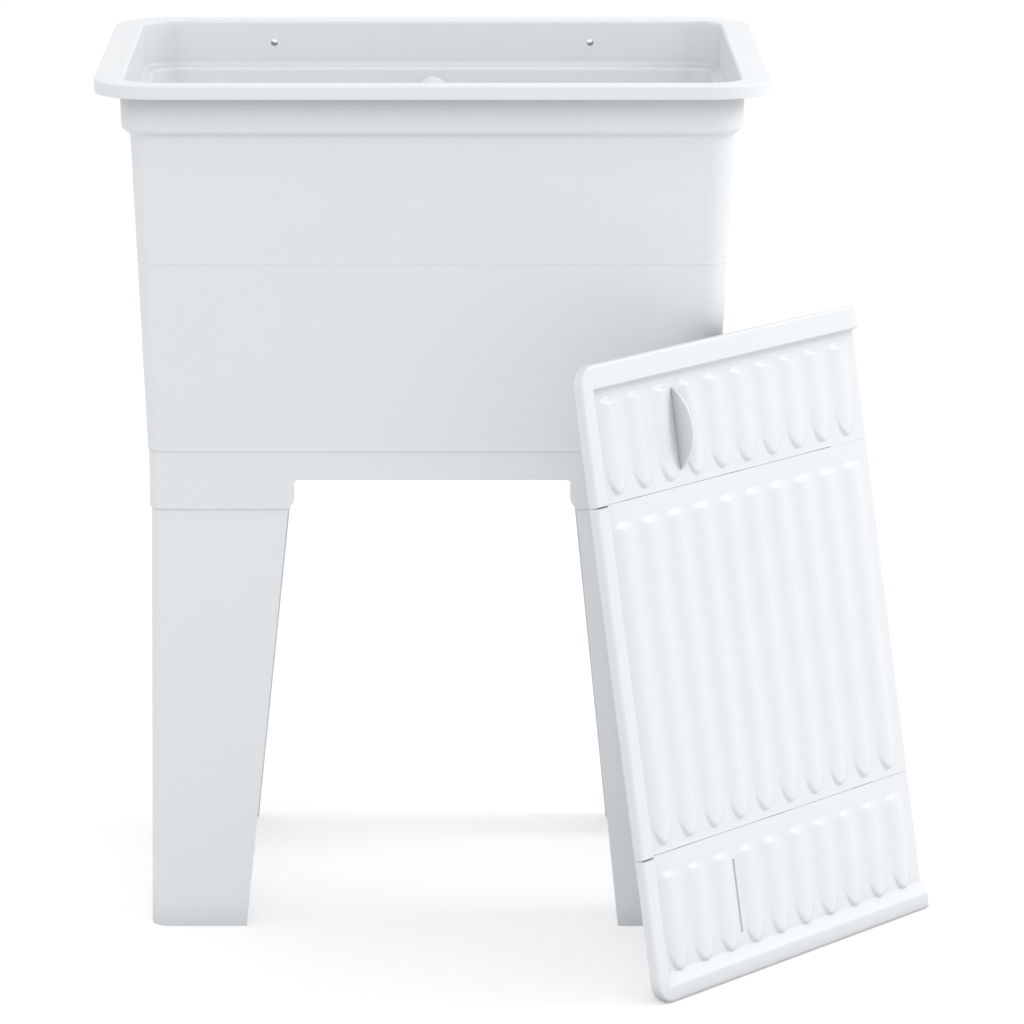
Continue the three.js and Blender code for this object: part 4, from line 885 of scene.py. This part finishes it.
def knuckle(u, fold, side):
    web = [
        (fold, HINGE_Z - KNUCKLE_R * 0.98),
        (fold + side * 10, -BOARD_T),
        (fold + side * 10, -BOARD_T + 1),
        (fold + side * 0.9, -BOARD_T + 1),
        (fold, HINGE_Z),
    ]
    barrel = rod((u, fold, HINGE_Z), (u + KNUCKLE_W, fold, HINGE_Z), KNUCKLE_R, 32)
    return joined(barrel, pushed(web, u, u + KNUCKLE_W, ACROSS_BOARD))


def with_hinge(piece, fold, side, slots):
    for station in HINGE_STATIONS:
        for slot in slots:
            joined(piece, knuckle(station + slot * (KNUCKLE_W + KNUCKLE_GAP), fold, side))
    return cut(piece, rod((-5, fold, HINGE_Z), (BOARD_W + 5, fold, HINGE_Z), PIN_R + GAP, 24))


def stop_rib(v):
    controls = [
        (v - 0.2, -SHEET / 2, 0),
        (v + 0.3, -BOARD_T - STOP_RIB_DEPTH, 1),
        (v + STOP_RIB_W - 0.3, -BOARD_T - STOP_RIB_DEPTH, 1),
        (v + STOP_RIB_W + 0.2, -SHEET / 2, 0),
    ]
    outline = [tuple(point) for point in eased(controls, closed=False)]
    return pushed(outline, SIDE_BORDER + WALL, BOARD_W - 6, ACROSS_BOARD)


def slot_cutter(u, v, length):
    half = TAB_T / 2 + GAP
    return box(u - half, u + half, v - length / 2, v + length / 2, -BOARD_T - 2, 1)


def board_section(part):
    piece = cut(section_body(part), above_face(part))
    return cut(piece, back_channel(part))


def make_board():
    half = FOLD_GAP / 2
    middle = Section(LOWER_FOLD + half, UPPER_FOLD - half, LOWER_FOLD + 7, UPPER_FOLD - 27)
    top = Section(UPPER_FOLD + half, BOARD_L, UPPER_FOLD + 6.5, BOARD_L - 40.6, bar_high=True)
    bottom = Section(0, LOWER_FOLD - half, 24.4, LOWER_FOLD - 25.2, bar_low=True)
    panel = with_hinge(with_hinge(board_section(middle), LOWER_FOLD, 1, (0, 2)), UPPER_FOLD, -1, (0, 2))
    finished(welded(edges_broken(panel, 0.4)), "washboard_middle", ON_BOARD)
    flap = with_hinge(board_section(top), UPPER_FOLD, 1, (1,))
    joined(flap, stop_rib(BOARD_L - STOP_RIB_INSET - STOP_RIB_W))
    cut(flap, slot_cutter(TAB_U, TAB_V, TANG + 2 * GAP))
    finished(welded(edges_broken(flap, 0.35)), "washboard_top_flap", ON_BOARD)
    flap = with_hinge(board_section(bottom), LOWER_FOLD, -1, (1,))
    joined(flap, stop_rib(STOP_RIB_INSET))
    cut(flap, slot_cutter(SLOT_U, SLOT_V, SLOT_LENGTH))
    finished(welded(edges_broken(flap, 0.35)), "washboard_bottom_flap", ON_BOARD)


def make_tab():
    """Half-moon blade on the sheet, with a tang down through its slot."""
    half, foot = TAB_CHORD / 2, GAP - RECESS
    radius = (half**2 + TAB_HEIGHT**2) / (2 * TAB_HEIGHT)
    sweep, centre = math.asin(half / radius), foot + TAB_HEIGHT - radius
    steps = 40
    outline = []
    for i in range(steps + 1):
        angle = -sweep + 2 * sweep * i / steps
        outline.append((radius * math.sin(angle), centre + radius * math.cos(angle)))
    tang = TANG / 2
    tip = -BOARD_T - 2.5
    outline += [(tang, foot), (tang - 1, tip), (1 - tang, tip), (-tang, foot)]
    blade = pushed(outline, -TAB_T / 2, TAB_T / 2, Matrix.Translation((TAB_U, TAB_V, 0)) @ ACROSS_BOARD)
    finished(edges_broken(blade, 0.55), "half_moon_tab", ON_BOARD)


def make_pin(node, fold):
    end = HINGE_STATIONS[-1] + 3 * (KNUCKLE_W + KNUCKLE_GAP) - KNUCKLE_GAP - 1
    pin = rod((HINGE_STATIONS[0] + 1, fold, HINGE_Z), (end, fold, HINGE_Z), PIN_R, 24)
    finished(edges_broken(pin, 0.25), node, ON_BOARD)


make_board()
make_tab()
make_pin("upper_hinge_pin", UPPER_FOLD)
make_pin("lower_hinge_pin", LOWER_FOLD)

# ---------------- drain, strainer and overflow
STEEL_T = 1.2
GASKET_T = 1.8
PUNCH_LENGTH = 12
FLANGE_R = 56.5
CUP_R = 38.7
CUP_IN = CUP_R - STEEL_T
CUP_FLOOR = SEAT_Z - 20.5
FLANGE_UNDER = SEAT_Z + GASKET_T + 2 * GAP
FLANGE_TOP = FLANGE_UNDER + STEEL_T
SHOULDER_R = DRAIN_R - 2.4
SHOULDER_Z = SEAT_Z - 0.2
BOLT_R = 2.5
BODY_SEAT = SEAT_Z - FLOOR_T - GASKET_T - 2 * GAP
BODY_BORE = CUP_R + 2.3
BODY_FLOOR = CUP_FLOOR - 4
TAIL_R = 20
TAIL_WALL = 3
TAIL_END = SEAT_Z - 67.5
NUT_R = 25.5
PIPE_R = 10
PIPE_WALL = 1.6
PIPE_BACKSET = 18.5
PIPE_DRAIN_Z = SEAT_Z - 50
PIPE_BEND = 30
SOCKET_R = PIPE_R + GAP + 2.2
SOCKET_DEPTH = 15
SOCKET_MOUTH_Y = TAIL_R + 28
BASKET_FLOOR = CUP_FLOOR + STEEL_T + 4.6
SEAL_T = 1.5
WASHER_T = GASKET_T * 1.5
BASKET_RIM = SHOULDER_Z + SEAL_T + 2 * GAP
STEM_R = 3.5
WALL_FACE = WALL / 2 + GAP
ROSETTE_R = 17.5
ROSETTE_FACE = -WALL_FACE - 5.2
OVERFLOW_SCREW_R = 2
ELBOW_FLANGE = WALL_FACE + GASKET_T + GAP
ELBOW_BACK = PIPE_BACKSET + 12.5
CHAMBER_R = OVERFLOW_R + 0.4
SOCKET_MOUTH = CHAMBER_R + SOCKET_DEPTH + 7
OVERFLOW_BOSS = 9
OUT_OF_WALL = Matrix.Rotation(-math.pi / 2, 4, "X")
ON_WALL = IN_SINK @ IN_WALL @ OUT_OF_WALL


def hole_ring():
    """Upright round punches spaced evenly on a level circle."""
    tree = bpy.data.node_groups.new("hole_ring", "GeometryNodeTree")
    add_sockets(tree, "INPUT", "Geometry", "Geometry")
    add_sockets(tree, "INPUT", "Int", "Count")
    add_sockets(tree, "INPUT", "Float", "Circle", "Radius", "Length", "Level")
    add_sockets(tree, "INPUT", "Material", "Finish")
    add, link = tree.nodes.new, tree.links.new
    size = add("NodeGroupInput").outputs
    circle, raised = add("GeometryNodeMeshCircle"), add("GeometryNodeSetPosition")
    lift = add("ShaderNodeCombineXYZ")
    punch, placed = add("GeometryNodeMeshCylinder"), add("GeometryNodeInstanceOnPoints")
    punch.inputs["Vertices"].default_value = 32
    link(size["Count"], circle.inputs["Vertices"])
    link(size["Circle"], circle.inputs["Radius"])
    link(size["Level"], lift.inputs["Z"])
    link(circle.outputs["Mesh"], raised.inputs["Geometry"])
    link(lift.outputs["Vector"], raised.inputs["Offset"])
    link(size["Radius"], punch.inputs["Radius"])
    link(size["Length"], punch.inputs["Depth"])
    link(raised.outputs["Geometry"], placed.inputs["Points"])
    link(punch.outputs["Mesh"], placed.inputs["Instance"])
    return ended(tree, placed.outputs["Instances"], size["Finish"])


HOLE_RING = hole_ring()


def perforated(piece, *rings):
    """Punches rings of holes given as (count, circle radius, hole radius, middle height)."""
    for count, circle, radius, level in rings:
        punches = with_tree(linked("punches", bpy.data.meshes.new("punches")), HOLE_RING, {
            "Count": count,
            "Circle": circle,
            "Radius": radius,
            "Length": PUNCH_LENGTH,
            "Level": level,
            "Finish": FINISH["steel"],
        })
        cut(piece, punches)
    return piece


def gasket(node, inner, outer, low, thickness, place=IN_SINK):
    high = low + thickness
    corners = [(inner, low), (outer, low), (outer, high), (inner, high)]
    finished(lathed([(*corner, 0.3) for corner in corners]), node, place)


def make_flange():
    flange = lathed([
        (BOLT_R + 0.8, CUP_FLOOR, 0),
        (CUP_R - 5, CUP_FLOOR, 3),
        (CUP_R, CUP_FLOOR + 5, 3),
        (CUP_R, SHOULDER_Z - STEEL_T, 0),
        (SHOULDER_R, SHOULDER_Z - STEEL_T, 0.5),
        (SHOULDER_R + 1.6, FLANGE_UNDER, 0.8),
        (FLANGE_R, FLANGE_UNDER, 0.3),
        (FLANGE_R + 0.7, FLANGE_UNDER + STEEL_T * 0.5, 0.3),
        (FLANGE_R, FLANGE_TOP, 0.4),
        (SHOULDER_R + 1, FLANGE_TOP, 1.4),
        (SHOULDER_R - 0.8, SHOULDER_Z, 0.5),
        (CUP_IN, SHOULDER_Z, 0.4),
        (CUP_IN, CUP_FLOOR + 5.5, 3),
        (CUP_IN - 4.5, CUP_FLOOR + STEEL_T, 3),
        (BOLT_R + 0.8, CUP_FLOOR + STEEL_T, 0),
    ])
    perforated(flange, (8, 23, 4.5, CUP_FLOOR), (6, 11.5, 2.48, CUP_FLOOR))
    finished(flange, "drain_flange", IN_SINK)


def make_basket():
    basket = lathed([
        (STEM_R + GAP, BASKET_FLOOR, 0),
        (CUP_IN - 7, BASKET_FLOOR, 2.4),
        (CUP_IN - 2.5, BASKET_FLOOR + 4.5, 2.4),
        (CUP_IN - 1.4, BASKET_RIM, 0.4),
        (SHOULDER_R - 1.6, BASKET_RIM, 0.3),
        (SHOULDER_R - 1.6, BASKET_RIM + 1, 0.3),
        (CUP_IN - 2.4, BASKET_RIM + 1, 0.6),
        (CUP_IN - 3.5, BASKET_FLOOR + 5, 2.4),
        (CUP_IN - 7.4, BASKET_FLOOR + 1, 2.4),
        (STEM_R + GAP, BASKET_FLOOR + 1, 0),
    ])
    perforated(basket, (10, 24, 2.6, BASKET_FLOOR), (6, 24 * 0.58, 2.6, BASKET_FLOOR))
    finished(basket, "strainer_basket", IN_SINK)


def make_knob():
    foot, collar, top = BASKET_FLOOR - GAP, BASKET_FLOOR + 1 + GAP, BASKET_RIM + 3
    knob = lathed([
        (0, foot - 1.3, 0),
        (STEM_R + 2.5, foot - 1.3, 0.4),
        (STEM_R + 2.5, foot, 0.4),
        (STEM_R, foot, 0),
        (STEM_R, collar, 0),
        (STEM_R + 2, collar, 0.4),
        (STEM_R + 1, collar + 3, 1.2),
        (STEM_R + 1, top - 2, 1.5),
        (9, top + 1, 2),
        (11, top + 4, 2),
        (9.5, top + 7.5, 2.2),
        (0, top + 8.6, 0),
    ])
    finished(knob, "strainer_knob", IN_SINK)


def make_drain_bolt():
    seat = CUP_FLOOR + STEEL_T + GAP
    bolt = lathed([
        (0, seat - 17, 0),
        (BOLT_R, seat - 16, 0.4),
        (BOLT_R, seat, 0),
        (5.5, seat, 0.3),
        (4.4, seat + 1.6, 0.8),
        (0, seat + 2.2, 0),
    ], 48)
    finished(cut(bolt, box(-5.5, 5.5, -0.6, 0.6, seat + 1, seat + 4)), "drain_bolt", IN_SINK)


def make_leg_screw(node):
    under = LEG_TOP - 4 - GAP
    screw = lathed([
        (0, under - 3.2, 0),
        (3.5, under - 3.2, 0.6),
        (5, under - 1.6, 0.6),
        (5, under, 0.3),
        (BOLT_R, under, 0),
        (BOLT_R, LEG_TOP + 11, 0.6),
        (0, LEG_TOP + 13, 0),
    ], 48)
    cut(screw, box(-5, 5, -0.6, 0.6, under - 4, under - 2))
    finished(screw, node, IN_SINK @ Matrix.Translation((*middle_of(node), 0)))


def make_drain_body():
    flare = FLANGE_R - 2
    body = lathed([
        (TAIL_R - TAIL_WALL, TAIL_END, 0.4),
        (TAIL_R, TAIL_END, 0.6),
        (TAIL_R, BODY_FLOOR - 8, 2),
        (BODY_BORE - 3, BODY_FLOOR - 3, 4),
        (BODY_BORE + 3, BODY_FLOOR + 4, 3),
        (BODY_BORE + 3, BODY_SEAT - 6, 1.5),
        (flare, BODY_SEAT - 4, 0.8),
        (flare, BODY_SEAT, 0.6),
        (BODY_BORE, BODY_SEAT, 0.4),
        (BODY_BORE, BODY_FLOOR + 5, 2),
        (BODY_BORE - 5, BODY_FLOOR, 2),
        (TAIL_R - TAIL_WALL, BODY_FLOOR - 4, 2),
    ])

    def along(y):
        return 0, y, PIPE_DRAIN_Z

    joined(body, rod(along(TAIL_R - TAIL_WALL * 0.5), along(SOCKET_MOUTH_Y), SOCKET_R))
    cut(body, rod(along(0), along(SOCKET_MOUTH_Y - 5), PIPE_R - PIPE_WALL))
    cut(body, rod(along(SOCKET_MOUTH_Y - SOCKET_DEPTH - GAP), along(SOCKET_MOUTH_Y + 5), PIPE_R + GAP))
    web_top = CUP_FLOOR - GAP
    boss = rod((0, 0, web_top - 16), (0, 0, web_top), BOLT_R + 3.4)
    for i in range(3):
        web = box(BOLT_R + 1, BODY_BORE - 6, -1.4, 1.4, BODY_FLOOR - 7, web_top - 1)
        web.data.transform(Matrix.Rotation(i * 2 * math.pi / 3 + math.pi / 6, 4, "Z"))
        joined(boss, web)
    joined(body, boss)
    cut(body, rod((0, 0, web_top - 21), (0, 0, web_top + 5), BOLT_R + GAP))
    finished(welded(edges_broken(body, 0.4, degrees=50, segments=2)), "drain_body", IN_SINK)


def make_outlet_nut():
    base = TAIL_END - GAP * 2 - WASHER_T - 2.4
    nut = lathed([
        (TAIL_R - 2.6, base, 0.5),
        (NUT_R - 1.5, base, 0.6),
        (NUT_R, base + 1.5, 0.6),
        (NUT_R, base + 10, 0.5),
        (TAIL_R + GAP, base + 10, 0.4),
        (TAIL_R + GAP, base + 2.4, 0),
        (TAIL_R - 2.6, base + 2.4, 0),
    ])
    for i in range(8):
        grip = box(NUT_R - 1.5, NUT_R + 1.6, -2.4, 2.4, base + 2, base + 9.9)
        grip.data.transform(Matrix.Rotation(i * math.pi / 4, 4, "Z"))
        joined(nut, grip)
    finished(edges_broken(nut, 0.4, degrees=50, segments=2), "outlet_nut", IN_SINK)


def make_rosette():
    bore = OVERFLOW_SCREW_R + GAP
    rosette = lathed([
        (bore, ROSETTE_FACE, 0.3),
        (ROSETTE_R * 0.6, ROSETTE_FACE + 0.3, 2.5),
        (ROSETTE_R * 0.9, ROSETTE_FACE + 2.1, 2.2),
        (ROSETTE_R, -WALL_FACE, 0.4),
        (ROSETTE_R * 0.8, -WALL_FACE, 0.3),
        (ROSETTE_R * 0.72, ROSETTE_FACE + 2.6, 1),
        (bore, ROSETTE_FACE + 2.6, 0),
    ])
    perforated(rosette, (6, 8.3, 2.6, ROSETTE_FACE))
    finished(rosette, "overflow_rosette", ON_WALL)


def make_overflow_screw():
    seat = ROSETTE_FACE - GAP
    screw = lathed([
        (0, seat - 2.2, 0),
        (OVERFLOW_SCREW_R * 1.4, seat - 2, 0.7),
        (OVERFLOW_SCREW_R * 2.1, seat, 0.4),
        (OVERFLOW_SCREW_R, seat, 0),
        (OVERFLOW_SCREW_R, OVERFLOW_BOSS + 8, 0.5),
        (0, OVERFLOW_BOSS + 9, 0),
    ], 48)
    finished(cut(screw, box(-6, 6, -0.5, 0.5, seat - 4, seat - 1.2)), "overflow_screw", ON_WALL)


def make_elbow():
    """Cup behind the wall with a socket that points straight down."""
    elbow = lathed([
        (0, ELBOW_FLANGE, 0),
        (ROSETTE_R + 0.5, ELBOW_FLANGE, 0.4),
        (ROSETTE_R + 0.5, ELBOW_FLANGE + 2.2, 0.6),
        (CHAMBER_R + 2.4, ELBOW_FLANGE + 3.2, 0.8),
        (CHAMBER_R + 2.4, ELBOW_BACK - 2, 1.6),
        (CHAMBER_R, ELBOW_BACK, 1.4),
        (0, ELBOW_BACK, 0),
    ])
    elbow.data.transform(IN_WALL @ OUT_OF_WALL)
    axis = IN_WALL @ Vector((0, PIPE_BACKSET, 0))

    def below(drop):
        return axis - Vector((0, 0, drop))

    def outwards(y):
        return IN_WALL @ Vector((0, y, 0))

    joined(elbow, rod(below(CHAMBER_R * 0.6), below(SOCKET_MOUTH), SOCKET_R))
    cut(elbow, rod(below(0), below(SOCKET_MOUTH - 5), PIPE_R - PIPE_WALL))
    cut(elbow, rod(below(SOCKET_MOUTH - SOCKET_DEPTH - GAP), below(SOCKET_MOUTH + 5), PIPE_R + GAP))
    cut(elbow, rod(outwards(ELBOW_FLANGE - 1), outwards(ELBOW_BACK - 2.5), CHAMBER_R))
    joined(elbow, rod(outwards(OVERFLOW_BOSS), outwards(ELBOW_BACK - 1), OVERFLOW_SCREW_R + 2.6))
    cut(elbow, rod(outwards(OVERFLOW_BOSS - 3), outwards(OVERFLOW_BOSS + 11), OVERFLOW_SCREW_R + GAP))
    finished(welded(edges_broken(elbow, 0.4, degrees=50, segments=2)), "overflow_elbow", IN_SINK)


def make_pipe():
    """Rigid pipe down the back of the tub, bent forward into the drain's socket."""
    axis = IN_WALL @ Vector((0, PIPE_BACKSET, 0))
    route = [(Vector((0, axis.y, axis.z - SOCKET_MOUTH + SOCKET_DEPTH)), Vector((0, 0, -1)))]
    for i in range(17):
        angle = i / 16 * math.pi / 2
        y = axis.y - PIPE_BEND + PIPE_BEND * math.cos(angle)
        z = PIPE_DRAIN_Z + PIPE_BEND - PIPE_BEND * math.sin(angle)
        route.append((Vector((0, y, z)), Vector((0, -math.sin(angle), -math.cos(angle)))))
    route.append((Vector((0, SOCKET_MOUTH_Y - SOCKET_DEPTH, PIPE_DRAIN_Z)), Vector((0, -1, 0))))

    def around(place, way, radius):
        side = Vector((1, 0, 0))
        over = side.cross(way)
        angles = [2 * math.pi * i / 64 for i in range(64)]
        return [place + side * radius * math.cos(a) + over * radius * math.sin(a) for a in angles]

    outer = [around(place, way, PIPE_R) for place, way in route]
    inner = [around(place, way, PIPE_R - PIPE_WALL) for place, way in reversed(route)]
    finished(loft(outer + inner, loop=True), "overflow_pipe", IN_SINK)


make_flange()
make_basket()
make_knob()
make_drain_bolt()
make_drain_body()
make_outlet_nut()
make_rosette()
make_overflow_screw()
make_elbow()
make_pipe()
for screw_node in sorted(frame["nodes"]):
    if screw_node.startswith("leg_screw"):
        make_leg_screw(screw_node)
gasket("drain_gasket_upper", DRAIN_R + 1.5, FLANGE_R - 2, SEAT_Z + GAP, GASKET_T)
gasket("drain_gasket_lower", DRAIN_R + 1.5, FLANGE_R - 2, BODY_SEAT + GAP, GASKET_T)
gasket("outlet_washer", TAIL_R - TAIL_WALL, TAIL_R - GAP, TAIL_END - GAP - WASHER_T, WASHER_T)
gasket("strainer_seal", CUP_IN + 0.4, SHOULDER_R - 1.4, SHOULDER_Z + GAP, SEAL_T)
gasket("overflow_gasket", CHAMBER_R, ROSETTE_R - 1, WALL_FACE, GASKET_T, ON_WALL)

# ---------------- floor, light and camera
LOOK_DISTANCE = 5432
LOOK_HEIGHT = 1605.3
LOOK_DOWN = math.radians(12.765)
FOCAL_PIXELS = 5504.2
AXIS_PIXEL_X = 432.27
FRAME_PIXELS = 1024
SENSOR_MM = 36
WORLD_LEVEL = 0.82
FLOOR_GLOW = 0.36


def seen_directly(add, link):
    """1 for the camera and for what metal and glass mirror, 0 for light on the object."""
    rays, either, any_of = add("ShaderNodeLightPath"), add("ShaderNodeMath"), add("ShaderNodeMath")
    either.operation = any_of.operation = "MAXIMUM"
    link(rays.outputs["Is Camera Ray"], either.inputs[0])
    link(rays.outputs["Is Glossy Ray"], either.inputs[1])
    link(either.outputs["Value"], any_of.inputs[0])
    link(rays.outputs["Is Transmission Ray"], any_of.inputs[1])
    return any_of.outputs["Value"]


def make_floor():
    bpy.ops.mesh.primitive_plane_add(size=60, location=(0, 0, 0))
    floor = bpy.context.object
    floor.name = "floor"
    material, shader, add, link = new_material("pale_floor")
    shader.inputs["Base Color"].default_value = (0.8, 0.8, 0.8, 1)
    shader.inputs["Roughness"].default_value = 1
    shader.inputs["Specular IOR Level"].default_value = 0
    shader.inputs["Emission Color"].default_value = (1, 1, 1, 1)
    lift = add("ShaderNodeMath")
    lift.operation = "MULTIPLY"
    lift.inputs[1].default_value = FLOOR_GLOW
    link(seen_directly(add, link), lift.inputs[0])
    link(lift.outputs["Value"], shader.inputs["Emission Strength"])
    floor.data.materials.append(material)


def make_world(level):
    world = bpy.data.worlds.new("studio")
    bpy.context.scene.world = world
    world.use_nodes = True
    nodes, link = world.node_tree.nodes, world.node_tree.links.new
    background = nodes["Background"]
    background.inputs["Color"].default_value = (1, 1, 1, 1)
    spread = nodes.new("ShaderNodeMapRange")
    spread.inputs["To Min"].default_value = level
    spread.inputs["To Max"].default_value = 1
    link(seen_directly(nodes.new, link), spread.inputs["Value"])
    link(spread.outputs["Result"], background.inputs["Strength"])


def make_softbox(name, offset, size, watts):
    """Round soft light at an offset from the foot of the sink, turned towards its middle."""
    lamp = bpy.data.lights.new(name, "AREA")
    lamp.shape = "DISK"
    lamp.size = size
    lamp.energy = watts
    softbox = linked(name, lamp)
    softbox.location = SINK + Vector(offset)
    inwards = Vector((0, 0, 0.5)) - Vector(offset)
    softbox.rotation_euler = inwards.to_track_quat("-Z", "Y").to_euler()


def make_camera():
    camera = bpy.data.cameras.new("camera")
    camera.sensor_width = SENSOR_MM
    camera.lens = SENSOR_MM * FOCAL_PIXELS / FRAME_PIXELS
    camera.shift_x = (FRAME_PIXELS / 2 - AXIS_PIXEL_X) / FRAME_PIXELS
    camera.clip_end = 100
    holder = linked("camera", camera)
    holder.location = SINK + Vector((0, -LOOK_DISTANCE, LOOK_HEIGHT)) * MM
    holder.rotation_euler = (math.pi / 2 - LOOK_DOWN, 0, 0)
    bpy.context.scene.camera = holder


make_floor()
make_world(WORLD_LEVEL)
make_softbox("key_softbox", (3.0, 0.1, 2.4), 1.2, 33)
make_softbox("front_fill", (-0.2, -3.6, 3.0), 2, 19)
make_camera()
bpy.context.scene.view_settings.view_transform = "Standard"
